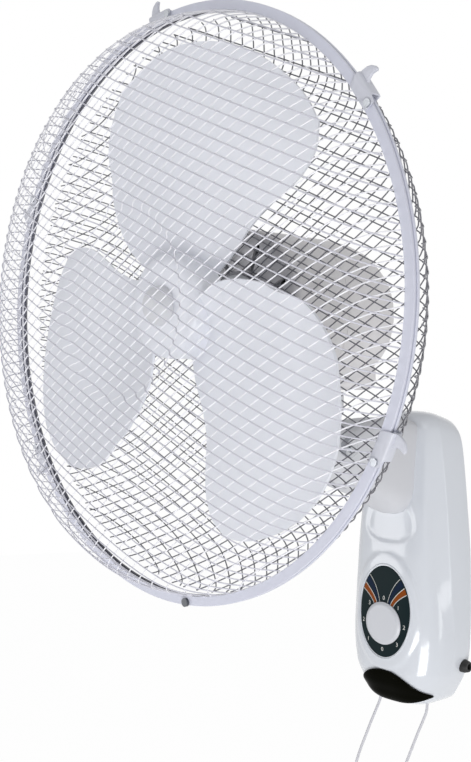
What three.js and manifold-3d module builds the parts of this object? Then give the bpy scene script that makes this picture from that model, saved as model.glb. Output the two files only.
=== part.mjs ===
// Wall mounted fan with a wire guard, an oscillating head, a dial and two pull cords.
// Millimetres, +Z up. The origin is the middle of the wall plate's flat back, on the wall (y = 0).
// The fan blows along -Y.
import * as THREE from 'three';
import { mergeVertices } from 'three/addons/utils/BufferGeometryUtils.js';
import Module from 'manifold-3d';

const wasm = await Module();
wasm.setup();

// ---------------------------------------------------------------- driving dimensions
const gap = 0.3; // running and seating clearance
const wall = 2.5; // moulded wall of housings

const fanAxisZ = 215; // height of the fan's axis over the origin
const ringOuterR = 220;
const ringWidth = 6.4; // each ring, from its bore to its outside
const ringInnerR = ringOuterR - ringWidth;
const ringDepth = 4.6; // each ring, along the axis

const guardThickness = 1.8;
const frontGuardDepth = 58.7; // crest of the front guard, ahead of the ring plane
const frontCrestR = 71.5;
const frontDiscDepth = 53; // the flat disc inside the crest
const frontDiscR = 64.5;
const rearGuardDepth = 61;
const motorFrontY = -237.6;
const guardSeat = 1.4; // from the motor's front face to the middle of the rear guard's plate
const ringPlaneY = motorFrontY - guardSeat - rearGuardDepth; // plane where the two guard rings meet
const spokeCount = 16;
const spokeWidth = 2.4;

const clipCount = 5;
const clipFirstAngle = 94; // degrees, seen from the front, anticlockwise from +X
const clipStep = 60;
const clipLength = 24;
const clipPlate = 1.2;

const motorR = 64; // outside radius of the motor covers
const coverSplitY = -180; // the two motor covers meet here
const shaftR = 4;
const shaftFrontY = -321;
const hubR = 39;
const hubFrontY = -317;
const hubRearY = -289;
const bladeCount = 3;
const bladeThickness = 2;
const bladePhase = 75; // degrees, middle of the first blade's tip
const tipClearance = 21.6; // blade tips to the rings' bore
const tipR = ringInnerR - tipClearance;

const swivelY = -138; // upright axis that the head swings about
const tiltZ = 104; // height of the tilt pin
const tiltPinR = 4;
const swivelShaftR = 5;
const collarR = 16.5;
const collarTopZ = 150.5;
const collarBottomZ = 131;
const armHalfWidth = 24;
const forkGap = 19;

const swingLimit = 35; // degrees each way
const linkPinRadius = 14;

const baseTopZ = 131;
const baseBottomZ = -132;
const baseExponent = 3; // squareness of the housing's plan section
const dialCentreZ = -48;
const dialHalfWidth = 27.5;
const dialHalfHeight = 40.5;
const knobZ = -60;
const knobR = 19.3;
const knobFrontY = -62;
const cordX = 26.5;
const cordY = -28;
const cordR = 1;
const eyeletR = 2.9;
const eyeletBottomZ = -130.8;
const pullSwitchZ = -109.5;
const pullSwitchHeight = 18;
const pullKnobLength = 20;

// ---------------------------------------------------------------- helpers
const rad = THREE.MathUtils.degToRad;
const fullTurn = 360; // degrees

// One closed body: shared corners merged, flat slivers dropped, faces pointing out.
function closed(geometry) {
  let g = geometry.index ? geometry.toNonIndexed() : geometry.clone();
  for (const name of Object.keys(g.attributes)) {
    if (name !== 'position') g.deleteAttribute(name);
  }
  g.clearGroups();
  g = mergeVertices(g, 1e-4);
  const kept = [];
  const at = g.index.array;
  for (let i = 0; i < at.length; i += 3) {
    const [a, b, c] = [at[i], at[i + 1], at[i + 2]];
    if (a !== b && b !== c && c !== a) kept.push(a, b, c);
  }
  g.setIndex(kept);
  if (signedVolume(g) < 0) {
    for (let i = 0; i < kept.length; i += 3) [kept[i], kept[i + 1]] = [kept[i + 1], kept[i]];
    g.setIndex(kept);
  }
  return g;
}

function signedVolume(g) {
  const p = g.attributes.position;
  const at = g.index.array;
  const [a, b, c] = [new THREE.Vector3(), new THREE.Vector3(), new THREE.Vector3()];
  let sum = 0;
  for (let i = 0; i < at.length; i += 3) {
    a.fromBufferAttribute(p, at[i]);
    b.fromBufferAttribute(p, at[i + 1]);
    c.fromBufferAttribute(p, at[i + 2]);
    sum += a.dot(b.cross(c)) / 6;
  }
  return sum;
}

function toManifold(geometry) {
  const g = closed(geometry);
  return new wasm.Manifold(new wasm.Mesh({
    numProp: 3,
    vertProperties: new Float32Array(g.attributes.position.array),
    triVerts: new Uint32Array(g.index.array),
  }));
}

function fromManifold(solid) {
  const mesh = solid.getMesh();
  const g = new THREE.BufferGeometry();
  g.setAttribute('position', new THREE.BufferAttribute(mesh.vertProperties, 3));
  g.setIndex(new THREE.BufferAttribute(mesh.triVerts, 1));
  return closed(g);
}

// First shape joined with the others in add, then cut by those in cut.
function shaped(first, { add = [], cut = [] }) {
  let solid = toManifold(first);
  for (const g of add) solid = solid.add(toManifold(g));
  for (const g of cut) solid = solid.subtract(toManifold(g));
  return fromManifold(solid);
}

function box(x0, x1, y0, y1, z0, z1) {
  const g = new THREE.BoxGeometry(x1 - x0, y1 - y0, z1 - z0);
  return g.translate((x0 + x1) / 2, (y0 + y1) / 2, (z0 + z1) / 2);
}

// Round bar or disc along Y, from y0 to y1.
function barY(r, y0, y1, x, z, sides = 24) {
  return new THREE.CylinderGeometry(r, r, y1 - y0, sides).translate(x, (y0 + y1) / 2, z);
}

function barZ(r, z0, z1, x, y, sides = 20) {
  return new THREE.CylinderGeometry(r, r, z1 - z0, sides).rotateX(Math.PI / 2).translate(x, y, (z0 + z1) / 2);
}

function barX(r, x0, x1, y, z, sides = 16) {
  return new THREE.CylinderGeometry(r, r, x1 - x0, sides).rotateZ(Math.PI / 2).translate((x0 + x1) / 2, y, z);
}

// Turned piece about the fan's axis: the profile is a closed list of [radius, y].
function turnedY(profile, sides = 32, z = fanAxisZ) {
  const points = [...profile, profile[0]].map(([r, y]) => new THREE.Vector2(r, y));
  return closed(new THREE.LatheGeometry(points, sides)).translate(0, 0, z);
}

// Turned piece about an upright axis: the profile is a closed list of [radius, z].
function turnedZ(profile, x, y, sides = 20) {
  const points = [...profile, profile[0]].map(([r, z]) => new THREE.Vector2(r, z));
  return closed(new THREE.LatheGeometry(points, sides)).rotateX(Math.PI / 2).translate(x, y, 0);
}

function tubeY(rIn, rOut, y0, y1, sides = 28) {
  return turnedY([[rIn, y0], [rOut, y0], [rOut, y1], [rIn, y1]], sides);
}

// A flat outline of [y, z] points pushed out along X, with its long edges rounded by a chamfer.
function slabX(points, halfWidth, bevel = 0) {
  const outline = new THREE.Shape(points.map(([y, z]) => new THREE.Vector2(y, z)));
  const g = new THREE.ExtrudeGeometry(outline, {
    depth: 2 * (halfWidth - bevel),
    bevelEnabled: bevel > 0,
    bevelSize: bevel,
    bevelThickness: bevel,
    bevelOffset: -bevel,
    bevelSegments: 1,
  });
  g.translate(0, 0, -(halfWidth - bevel));
  g.applyMatrix4(new THREE.Matrix4().makeBasis(
    new THREE.Vector3(0, 1, 0), new THREE.Vector3(0, 0, 1), new THREE.Vector3(1, 0, 0)));
  return closed(g);
}

// Smooth curve through [value, z] pairs, read at any z.
function reader(pairs) {
  return (z) => {
    let i = 0;
    while (i < pairs.length - 2 && z > pairs[i + 1][0]) i += 1;
    const [z0, v0] = pairs[i];
    const [z1, v1] = pairs[i + 1];
    return v0 + ((v1 - v0) * (z - z0)) / (z1 - z0);
  };
}

const group = new THREE.Group();

function add(name, geometry, colour, roughness = 0.5, metalness = 0, parent = group) {
  const material = new THREE.MeshStandardMaterial({ color: colour, roughness, metalness });
  const mesh = new THREE.Mesh(closed(geometry), material);
  mesh.name = name;
  parent.add(mesh);
  return mesh;
}

const white = 0xdfe2e6;
const lilacWhite = 0xd9dbe4;
const greyPlastic = 0xc6c7ca;
const darkPanel = 0x1e2a2c;
const blackPlastic = 0x15140f;
const steel = 0x9a9da1;
const brass = 0xb59a5a;
const copper = 0xa5643c;

// ---------------------------------------------------------------- base housing
// Half width at the wall and depth to the front, by height.
const baseHalfWidth = reader([[-132, 16], [-129, 27], [-124, 34], [-116, 41.5], [-106, 47.5], [-94, 51],
  [-75, 53.5], [-40, 54], [0, 53.5], [40, 51], [80, 47.5], [105, 44.5], [115, 42], [123, 37], [128, 31], [131, 23]]);
const baseDepth = reader([[-132, 30], [-129, 37], [-124, 42], [-116, 47], [-106, 50.5], [-94, 53], [-75, 55],
  [-40, 56], [0, 54], [40, 51], [80, 48], [105, 45], [115, 42], [123, 37], [128, 31], [131, 23]]);
const baseLevels = [-132, -129, -123, -114, -102, -80, -40, 20, 80, 105, 117, 126, 131];
const baseSteps = 12; // facets round the front of each level

// Where the housing's outside lies in y, at a place in its front view.
function baseFrontY(x, z, inset = 0) {
  const w = baseHalfWidth(z) - inset;
  const d = baseDepth(z) - inset;
  return -d * Math.max(0, 1 - Math.abs(x / w) ** baseExponent) ** (1 / baseExponent);
}

// The housing's body, drawn in by inset all round, from its back at y = back.
function baseForm(inset, back, stride = 1) {
  const heights = baseLevels.filter((z, i) => i % stride === 0 || i === baseLevels.length - 1);
  const rings = heights.map((level) => {
    const z = THREE.MathUtils.clamp(level, baseBottomZ + inset, baseTopZ - inset);
    const w = baseHalfWidth(level) - inset;
    const d = baseDepth(level) - inset;
    const points = [];
    for (let k = 0; k <= baseSteps; k += 1) {
      const t = (Math.PI * k) / baseSteps;
      const x = Math.sign(Math.cos(t)) * w * Math.abs(Math.cos(t)) ** (2 / baseExponent);
      const y = -d * Math.sin(t) ** (2 / baseExponent);
      points.push([x, Math.min(y, back), z]);
    }
    points[0][1] = back;
    points[baseSteps][1] = back;
    return points;
  });
  const unique = rings.filter((ring, i) => i === 0 || ring[0][2] > rings[i - 1][0][2] + 0.01);
  const position = unique.flat(2);
  const n = baseSteps + 1;
  const index = [];
  for (let i = 0; i < unique.length - 1; i += 1) {
    for (let k = 0; k < n; k += 1) {
      const m = (k + 1) % n;
      const [a, b, c, d] = [i * n + k, i * n + m, (i + 1) * n + m, (i + 1) * n + k];
      index.push(a, b, c, a, c, d);
    }
  }
  for (let k = 1; k < n - 1; k += 1) {
    const top = (unique.length - 1) * n;
    index.push(0, k + 1, k, top, top + k, top + k + 1);
  }
  const g = new THREE.BufferGeometry();
  g.setAttribute('position', new THREE.Float32BufferAttribute(position, 3));
  g.setIndex(index);
  return closed(g);
}

// Upright oval pushed along Y.
function ovalY(halfWidth, halfHeight, z, y0, y1, sides = 24) {
  const g = barY(1, y0, y1, 0, 0, sides);
  return g.scale(halfWidth, 1, halfHeight).translate(0, 0, z);
}

// A slab that follows the housing's curved front inside an upright oval.
function ovalOnBase(halfWidth, halfHeight, z, proud, deep, rings = 2, sides = 24) {
  const layer = (level) => {
    const points = [[0, baseFrontY(0, z) - level, z]];
    for (let i = 1; i <= rings; i += 1) {
      for (let k = 0; k < sides; k += 1) {
        const t = (2 * Math.PI * k) / sides;
        const x = (halfWidth * i * Math.cos(t)) / rings;
        const zz = z + (halfHeight * i * Math.sin(t)) / rings;
        points.push([x, baseFrontY(x, zz) - level, zz]);
      }
    }
    return points;
  };
  const front = layer(proud);
  const back = layer(-deep);
  const index = [];
  const n = front.length;
  for (let k = 0; k < sides; k += 1) {
    const m = (k + 1) % sides;
    index.push(0, 1 + k, 1 + m, n, n + 1 + m, n + 1 + k);
    for (let i = 1; i < rings; i += 1) {
      const [a, b] = [1 + (i - 1) * sides + k, 1 + (i - 1) * sides + m];
      const [c, d] = [1 + i * sides + k, 1 + i * sides + m];
      index.push(a, c, d, a, d, b, n + a, n + d, n + c, n + a, n + b, n + d);
    }
    const [e, f] = [1 + (rings - 1) * sides + k, 1 + (rings - 1) * sides + m];
    index.push(e, n + e, n + f, e, n + f, f);
  }
  const g = new THREE.BufferGeometry();
  g.setAttribute('position', new THREE.Float32BufferAttribute([...front, ...back].flat(), 3));
  g.setIndex(index);
  return closed(g);
}

const windowHalfWidth = 37;
const windowTopZ = -103;
const windowBottomZ = -129.5;
const windowCornerZ = -121;
const windowBackY = -33;

// Almond outline of the smoked window in the front view, drawn in by inset.
function windowShape(inset) {
  const shape = new THREE.Shape();
  const side = windowHalfWidth - 1.6 * inset;
  shape.moveTo(-side, windowCornerZ);
  shape.quadraticCurveTo(0, 2 * (windowTopZ - inset) - windowCornerZ, side, windowCornerZ);
  shape.quadraticCurveTo(0, 2 * (windowBottomZ + inset) - windowCornerZ, -side, windowCornerZ);
  return shape;
}

function windowPrism(inset, y0, y1) {
  const g = new THREE.ExtrudeGeometry(windowShape(inset), { depth: y1 - y0, bevelEnabled: false, curveSegments: 7 });
  // The outline lies in x-z and is pushed along +Y.
  return closed(g.applyMatrix4(new THREE.Matrix4().makeBasis(
    new THREE.Vector3(1, 0, 0), new THREE.Vector3(0, 0, 1), new THREE.Vector3(0, 1, 0)))).translate(0, y0, 0);
}

// Side view of the arm, as [y, z], from the wall plate out to the fork.
const plateThickness = 2;
const armBackY = -plateThickness;
const armOutline = [[armBackY, 116], [armBackY, 46], [-30, 41], [-48, 38.5], [-60, 41.5], [-74, 49], [-92, 57],
  [-112, 64], [-134, 72], [-148, 81], [-156, 93], [-158, 105], [-154, 115], [-146, 119.5], [-132, 120], [-122, 119],
  [-112, 122], [-100, 125], [-80, 126.5], [-55, 126.5], [-30, 122]];

function armForm(extra) {
  const centre = [-75, 90];
  const grown = armOutline.map(([y, z]) => {
    const [dy, dz] = [y - centre[0], z - centre[1]];
    const length = Math.hypot(dy, dz);
    return [y + (dy / length) * extra * 1.4, z + (dz / length) * extra * 1.4];
  });
  return slabX(grown, armHalfWidth + extra, 4);
}

const plateHalfWidth = 40;
const plateTopZ = 100;
const plateBottomZ = -100;
const screwX = 12;
const screwY = -9;
const screwR = 1.9;
const flangeZ = -122;
const boardY = -22;
const boardZ = -86;
const boardHalf = 30;
const boardPostX = 26;

add('wall_plate', shaped(box(-plateHalfWidth, plateHalfWidth, -plateThickness, 0, plateBottomZ, plateTopZ), {
  add: [
    box(-20, 20, -plateThickness, 0, flangeZ, plateBottomZ + 1),
    box(-20, 20, -18, 0, flangeZ, flangeZ + plateThickness),
    barY(3.2, boardY, -0.5, -boardPostX, boardZ, 10),
    barY(3.2, boardY, -0.5, boardPostX, boardZ, 10),
  ],
  cut: [
    barY(4.5, -5, 1, 0, 72, 12),
    box(-2.2, 2.2, -5, 1, 72, 84),
    barY(2.6, -5, 1, -28, -8, 12),
    barY(2.6, -5, 1, 28, -8, 12),
    barZ(screwR + gap, flangeZ - 3, flangeZ + 4, -screwX, screwY, 14),
    barZ(screwR + gap, flangeZ - 3, flangeZ + 4, screwX, screwY, 14),
  ],
}), steel, 0.45, 0.8);

const cableHoleZ = -98;
const glandR = 5;
const glandBoreX = 53; // the gland's bore is still blanked off inside this

const housingOuter = baseForm(0, 0);
const housingInner = baseForm(wall, 1, 2);
add('base_housing', shaped(housingOuter, {
  cut: [
    housingInner,
    armForm(0.5),
    ovalY(dialHalfWidth + 2.5, dialHalfHeight + 2.5, dialCentreZ, -70, -30),
    windowPrism(0, -70, windowBackY + gap),
    barZ(eyeletR + gap, -140, pullSwitchZ, -cordX, cordY, 12),
    barZ(eyeletR + gap, -140, pullSwitchZ, cordX, cordY, 12),
    barZ(screwR + gap, -140, -118, -screwX, screwY, 14),
    barZ(screwR + gap, -140, -118, screwX, screwY, 14),
    barX(glandR + gap, 30, 70, -9, cableHoleZ, 16),
  ],
}), white, 0.25);

for (const [side, x] of [['left', -screwX], ['right', screwX]]) {
  add(`housing_screw_${side}`, turnedZ([[0, baseBottomZ - 2.2], [3.2, baseBottomZ - 2.2], [3.6, baseBottomZ - gap],
    [screwR, baseBottomZ - gap], [screwR, flangeZ + 5], [0, flangeZ + 5]], x, screwY, 12), steel, 0.3, 0.9);
}

// ---------------------------------------------------------------- dial, window and what lies behind them
add('dial_bezel', shaped(ovalOnBase(dialHalfWidth + 2.2, dialHalfHeight + 2.2, dialCentreZ, 0.8, 3), {
  cut: [ovalY(dialHalfWidth + gap, dialHalfHeight + gap, dialCentreZ, -80, -20)],
}), white, 0.3);

const spindleR = 3;
const knobSocketR = 5.6;
add('dial_panel', shaped(ovalOnBase(dialHalfWidth, dialHalfHeight, dialCentreZ, 0.1, 2.4), {
  cut: [barY(knobSocketR + gap, -80, -20, 0, knobZ, 20)],
}), darkPanel, 0.35);

// Knob: a shallow disc with a chamfered edge and a socket for the switch's spindle.
const panelFrontY = Math.min(baseFrontY(0, knobZ), baseFrontY(0, dialCentreZ)) - 0.1;
const knobBackY = panelFrontY - 0.4;
add('speed_knob', turnedY([[0, knobFrontY + 0.6], [0, knobFrontY], [knobR - 3.2, knobFrontY], [knobR - 0.8, knobFrontY + 1.2],
  [knobR, knobFrontY + 2.4], [knobR, knobBackY], [knobR - 2, knobBackY], [knobR - 2, knobFrontY + 2.6],
  [knobSocketR, knobFrontY + 2.6], [knobSocketR, knobBackY + 4], [spindleR + 0.3, knobBackY + 4],
  [spindleR + 0.3, knobFrontY + 2.2], [0, knobFrontY + 2.2]].slice(1), 20, knobZ), lilacWhite, 0.3);

const switchFrontY = -48;
add('speed_switch', shaped(box(-15, 15, switchFrontY, -24, knobZ - 15, knobZ + 15), {
  add: [barY(spindleR, knobFrontY + 2.6, switchFrontY + 1, 0, knobZ, 20)],
}), greyPlastic, 0.6);

const lensDrop = 0.4;
// The smoked window: a slice of the housing's own form, so that it follows the rounded bottom.
const lensOuter = toManifold(baseForm(-lensDrop, 0));
const lensInner = toManifold(baseForm(wall - 0.4, 1));
const lensPrism = toManifold(windowPrism(gap, -75, windowBackY));
add('window_lens', fromManifold(lensOuter.subtract(lensInner).intersect(lensPrism)), blackPlastic, 0.12);

add('control_board', shaped(box(-boardHalf, boardHalf, boardY - 1.6, boardY, boardZ - 4, boardZ + 34), {
  cut: [barY(1.6, boardY - 4, boardY + 3, -boardPostX, boardZ, 8), barY(1.6, boardY - 4, boardY + 3, boardPostX, boardZ, 8)],
}), 0x3c6b45, 0.6);

// ---------------------------------------------------------------- pull switches, eyelets and cords

// Route of each cord from its eyelet's mouth, as [side to side, forward, down].
const pullRoute = [[0, 0, 0], [0, 0, 3], [-0.4, -1, 10], [-3, -4, 20], [-6.5, -7.5, 32], [-10, -11, 45],
  [-13.5, -14.5, 58], [-16.5, -17.5, 72], [-18.5, -19.5, 86], [-19.6, -20.6, 100], [-20, -21, 114], [-20, -21, 128],
  [-20, -21, 142]];

for (const [side, x] of [['left', -cordX], ['right', cordX]]) {
  add(`cord_eyelet_${side}`, turnedZ([[cordR + 0.5, eyeletBottomZ], [eyeletR, eyeletBottomZ], [eyeletR, pullSwitchZ],
    [cordR + 0.5, pullSwitchZ]], x, cordY, 12), lilacWhite, 0.4);
  add(`pull_switch_${side}`, box(x - 6, x + 6, cordY - 7, cordY + 7, pullSwitchZ, pullSwitchZ + pullSwitchHeight), greyPlastic, 0.6);
  const top = new THREE.Vector3(x, cordY, pullSwitchZ - gap);
  const points = pullRoute.map(([dx, dy, down]) => new THREE.Vector3(x + dx, cordY + dy, eyeletBottomZ - down));
  const curve = new THREE.CatmullRomCurve3([top, ...points]);
  const section = new THREE.Shape();
  section.absarc(0, 0, cordR, 0, 2 * Math.PI, false);
  const tube = new THREE.ExtrudeGeometry(section, { steps: 28, extrudePath: curve, curveSegments: 4, bevelEnabled: false });
  add(`pull_cord_${side}`, tube, lilacWhite, 0.8);
  const foot = points[points.length - 1];
  add(`pull_knob_${side}`, turnedZ([[0, foot.z - gap], [2.2, foot.z - gap], [3.4, foot.z - 3], [4.6, foot.z - 9],
    [5.2, foot.z - 14], [4.8, foot.z - 18], [3, foot.z - pullKnobLength], [0, foot.z - pullKnobLength]],
  foot.x, foot.y, 12), white, 0.3);
}

// ---------------------------------------------------------------- wiring inside the base
add('terminal_block', shaped(box(-16, 16, -16, -plateThickness, 6, 20), {
  cut: [-10.5, -3.5, 3.5, 10.5].map((x) => barY(1.8, -17, -9, x, 13, 10)),
}), 0xe8e4d8, 0.6);
add('run_capacitor', box(-19, 19, -22, -plateThickness, -34, -12), 0xd8d8d2, 0.5);
add('cable_gland', shaped(barX(glandR, 44, 60, -9, cableHoleZ, 16), {
  add: [barX(glandR + 2, 53.5, 61, -9, cableHoleZ, 6)],
  cut: [barX(3.2, glandBoreX, 70, -9, cableHoleZ, 14)],
}), blackPlastic, 0.6);

// ---------------------------------------------------------------- arm, tilt pin and swivel post
add('neck_arm', shaped(armForm(0), {
  cut: [
    box(-forkGap / 2, forkGap / 2, -170, swivelY + 20, 50, 140),
    box(-armHalfWidth + 5, armHalfWidth - 5, -95, armBackY + 1, 52, 112),
    barX(tiltPinR + gap, -40, 40, swivelY, tiltZ),
  ],
}), greyPlastic, 0.55);

add('tilt_pin', shaped(barX(tiltPinR, -armHalfWidth - 2, armHalfWidth + 9, swivelY, tiltZ), {
  add: [barX(8, -armHalfWidth - 6, -armHalfWidth - gap, swivelY, tiltZ, 20)],
}), steel, 0.3, 0.9);
add('tilt_nut', shaped(barX(8.5, armHalfWidth + gap, armHalfWidth + 7, swivelY, tiltZ, 6), {
  cut: [barX(tiltPinR + gap, 0, 60, swivelY, tiltZ)],
}), steel, 0.35, 0.9);

const postLugHalf = forkGap / 2 - 0.4;
const linkPinTopZ = collarTopZ + 7.4;
add('swivel_post', shaped(barX(15, -postLugHalf, postLugHalf, swivelY, tiltZ, 24), {
  add: [
    box(-postLugHalf, postLugHalf, swivelY - 11, swivelY + 11, tiltZ, collarBottomZ + 2),
    barZ(collarR, collarBottomZ, collarTopZ, 0, swivelY, 24),
    barZ(1.5, collarTopZ - 1, linkPinTopZ, linkPinRadius, swivelY, 12),
  ],
  cut: [
    barX(tiltPinR + gap, -40, 40, swivelY, tiltZ),
    barZ(swivelShaftR + 2 + gap, collarBottomZ - 5, collarTopZ + 2, 0, swivelY, 20),
  ],
}), greyPlastic, 0.5);

add('swivel_bush', turnedZ([[swivelShaftR + gap, collarBottomZ - 4], [swivelShaftR + 2, collarBottomZ - 4],
  [swivelShaftR + 2, collarTopZ + gap], [11, collarTopZ + gap], [11, collarTopZ + 1.6], [swivelShaftR + gap, collarTopZ + 1.6]],
0, swivelY, 20), brass, 0.4, 0.8);

// ---------------------------------------------------------------- motor
const bossBottomZ = collarTopZ + 1.6 + gap;
const statorR = 44;
const statorFrontY = -215;
const statorRearY = -185;
const bellWall = 3;
const bellR = statorR + bellWall;
const bearingR = 11;
const bearingLength = 7;
const frontBearingY = -245;
const rearBearingY = -168;
const noseR = 19;
const noseFrontY = -251;

add('front_end_bell', turnedY([[bearingR + gap, noseFrontY], [noseR, noseFrontY], [noseR, motorFrontY + wall + gap],
  [bellR, motorFrontY + wall + gap], [bellR, statorFrontY - gap + 0.3], [statorR - 4, statorFrontY],
  [statorR - 4, motorFrontY + wall + 4], [shaftR + 1, motorFrontY + wall + 4], [shaftR + 1, frontBearingY + bearingLength + gap],
  [bearingR + gap, frontBearingY + bearingLength + gap]], 24), steel, 0.4, 0.8);

const webTopZ = 180;
const rearNoseR = bearingR + 4;
const rearNoseY = -150.3;
const rearBellY = -160; // outside of the rear end bell's floor
const rearFloor = 4;
add('rear_end_bell', shaped(turnedY([[bearingR + gap, rearBearingY - gap], [bearingR + gap, rearBearingY + bearingLength + gap],
  [shaftR + 1, rearBearingY + bearingLength + gap], [shaftR + 1, rearNoseY], [rearNoseR, rearNoseY], [rearNoseR, rearBellY],
  [bellR, rearBellY], [bellR, statorRearY + gap], [statorR - 4, statorRearY + gap], [statorR - 4, rearBellY - rearFloor],
  [rearNoseR, rearBellY - rearFloor], [rearNoseR, rearBearingY - gap]], 24), {
  add: [
    barZ(9, bossBottomZ, webTopZ, 0, swivelY, 20),
    box(-7, 7, rearBellY - 3, swivelY, 160, webTopZ),
  ],
  cut: [barZ(swivelShaftR + gap, bossBottomZ - 3, 173 + gap, 0, swivelY, 16)],
}), steel, 0.4, 0.8);

add('swivel_shaft', barZ(swivelShaftR, collarBottomZ - 3, 173, 0, swivelY, 16), steel, 0.25, 0.9);

add('stator_core', tubeY(23, statorR, statorFrontY + gap, statorRearY - gap, 28), 0x5a5d60, 0.5, 0.7);
add('stator_winding_front', turnedY([[26, statorFrontY - 13], [37, statorFrontY - 13],
  [38.5, statorFrontY], [25, statorFrontY]], 24), copper, 0.4, 0.3);
add('stator_winding_rear', turnedY([[25, statorRearY], [38.5, statorRearY], [37, statorRearY + 13],
  [26, statorRearY + 13]], 24), copper, 0.4, 0.3);
add('front_bearing', tubeY(shaftR + gap, bearingR, frontBearingY, frontBearingY + bearingLength, 16), steel, 0.2, 0.9);
add('rear_bearing', tubeY(shaftR + gap, bearingR, rearBearingY, rearBearingY + bearingLength, 16), steel, 0.2, 0.9);

// Front cover: a band and a flat face with cooling slots.
const ventCount = 8;
const ventCuts = [];
for (let i = 0; i < ventCount; i += 1) {
  const slot = box(31, 54, motorFrontY - 5, motorFrontY + 6, -2.6, 2.6);
  ventCuts.push(slot.rotateY(-rad((fullTurn * (i + 0.5)) / ventCount)).translate(0, 0, fanAxisZ));
}
add('motor_front_cover', shaped(turnedY([[noseR + gap, motorFrontY], [58, motorFrontY], [62, motorFrontY + 1.6],
  [motorR, motorFrontY + 5.5], [motorR, coverSplitY - gap / 2], [motorR - wall, coverSplitY - gap / 2],
  [motorR - wall, motorFrontY + 6], [59, motorFrontY + wall], [noseR + gap, motorFrontY + wall]], 28), {
  cut: ventCuts,
}), 0xcfc9c4, 0.5);

// Rear cover: a bell with a pod below it for the swing crank.
const bellProfile = [[motorR, coverSplitY + gap / 2], [motorR, -162], [61, -140], [53, -117], [41, -102], [20, -94.5]];
const podRearY = -97;
const podFrontY = -169;
const podHalf = 27;
const podBottomZ = 152;
const podTopZ = 182; // inside the bell

function podForm(inset, z0, z1) {
  const r = 9 - inset;
  const [x, y0, y1] = [podHalf - inset, podFrontY + inset, podRearY - inset];
  const s = new THREE.Shape();
  s.moveTo(-x + r, y0);
  s.lineTo(x - r, y0);
  s.absarc(x - r, y0 + r, r, -Math.PI / 2, 0, false);
  s.lineTo(x, y1 - r);
  s.absarc(x - r, y1 - r, r, 0, Math.PI / 2, false);
  s.lineTo(-x + r, y1);
  s.absarc(-x + r, y1 - r, r, Math.PI / 2, Math.PI, false);
  s.lineTo(-x, y0 + r);
  s.absarc(-x + r, y0 + r, r, Math.PI, 1.5 * Math.PI, false);
  const g = new THREE.ExtrudeGeometry(s, { depth: z1 - z0, bevelEnabled: false, curveSegments: 3 });
  return closed(g.translate(0, 0, z0));
}

const bellOuter = turnedY([[0, coverSplitY + gap / 2], ...bellProfile, [0, -93.5]], 28);
const bellInner = turnedY([[0, coverSplitY - 3], [motorR - wall, coverSplitY - 3],
  ...bellProfile.slice(1).map(([r, y]) => [Math.max(r - wall, 8), y - wall * 0.8]), [0, -96.5]], 28);
const linkOpeningR = 19;
add('motor_rear_cover', shaped(bellOuter, {
  add: [podForm(0, podBottomZ, podTopZ)],
  cut: [
    bellInner,
    podForm(wall, podBottomZ + wall, podTopZ + 8),
    barZ(linkOpeningR, podBottomZ - 3, podBottomZ + wall + 3, 0, swivelY, 24),
  ],
}), 0xcfc9c4, 0.5);

// ---------------------------------------------------------------- swing drive: gearbox, crank and link
const gearboxFrontY = -150;
const crankR = linkPinRadius * Math.sin(rad(swingLimit));
const crankX = linkPinRadius - crankR;
const crankY = -114;
const crankZ = 158.2;
const linkZ0 = collarTopZ + 4.8;
const linkZ1 = linkZ0 + 2;
const gearboxBottomZ = 186;
add('swing_gearbox', shaped(box(-15, 19, gearboxFrontY, -104, gearboxBottomZ, 228), {
  cut: [
    barY(shaftR + 1, gearboxFrontY - 3, -130, 0, fanAxisZ, 20),
    barZ(3 + gap, gearboxBottomZ - 3, gearboxBottomZ + 12, crankX, crankY, 16),
  ],
}), blackPlastic, 0.5);
add('swing_crank', shaped(barZ(crankR + 3, crankZ, crankZ + 3, crankX, crankY, 24), {
  add: [
    barZ(3, crankZ + 1, gearboxBottomZ + 10, crankX, crankY, 16),
    barZ(1.5, linkZ0 - gap, crankZ + 1, linkPinRadius, crankY, 12),
  ],
}), brass, 0.4, 0.8);

// The link keeps its place on the post's pin; its far eye is a cross slot for the crank's pin.
const linkPinR = 1.5;
const slotHalf = linkPinR + 1.9;
const slotReach = linkPinRadius * (1 - Math.cos(rad(swingLimit))) + crankR;
add('swing_link', shaped(box(linkPinRadius - 2, linkPinRadius + 2, swivelY, crankY - slotHalf, linkZ0, linkZ1), {
  add: [
    barZ(3.4, linkZ0, linkZ1, linkPinRadius, swivelY, 16),
    box(linkPinRadius - slotReach - 1, linkPinRadius + slotHalf + 1, crankY - slotHalf - 2, crankY + slotHalf + 2, linkZ0, linkZ1),
  ],
  cut: [
    barZ(linkPinR + gap, linkZ0 - 2, linkZ1 + 2, linkPinRadius, swivelY, 12),
    box(linkPinRadius - slotReach + 1.6, linkPinRadius + linkPinR + 0.6, crankY - slotHalf, crankY + slotHalf, linkZ0 - 2, linkZ1 + 2),
  ],
}), steel, 0.4, 0.9);

// ---------------------------------------------------------------- rotor, blades and blade nut
add('motor_shaft', turnedY([[0, shaftFrontY], [shaftR, shaftFrontY + 0.6], [shaftR, -133], [0, -133]], 16), steel, 0.2, 0.95);
add('rotor_core', tubeY(shaftR + gap, 22.6, statorFrontY + gap, statorRearY - gap, 24), 0x6b6e70, 0.5, 0.7);

// Blade edges as [radius, degrees from the blade's middle]; the fan turns clockwise seen from the front.
const leadAngle = reader([[34, -26], [66, -31.5], [94, -34], [119, -36.5], [tipR - 53, -37.5], [tipR - 34, -36.5],
  [tipR - 22, -33.5], [tipR, -29]]);
const trailAngle = reader([[34, 76], [58, 63], [72, 55], [90, 50.5], [105, 48.5], [117, 46.5], [tipR - 54, 43.5],
  [tipR - 34, 37.5], [tipR - 21, 32], [tipR - 13, 28], [tipR, 22]]);
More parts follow.
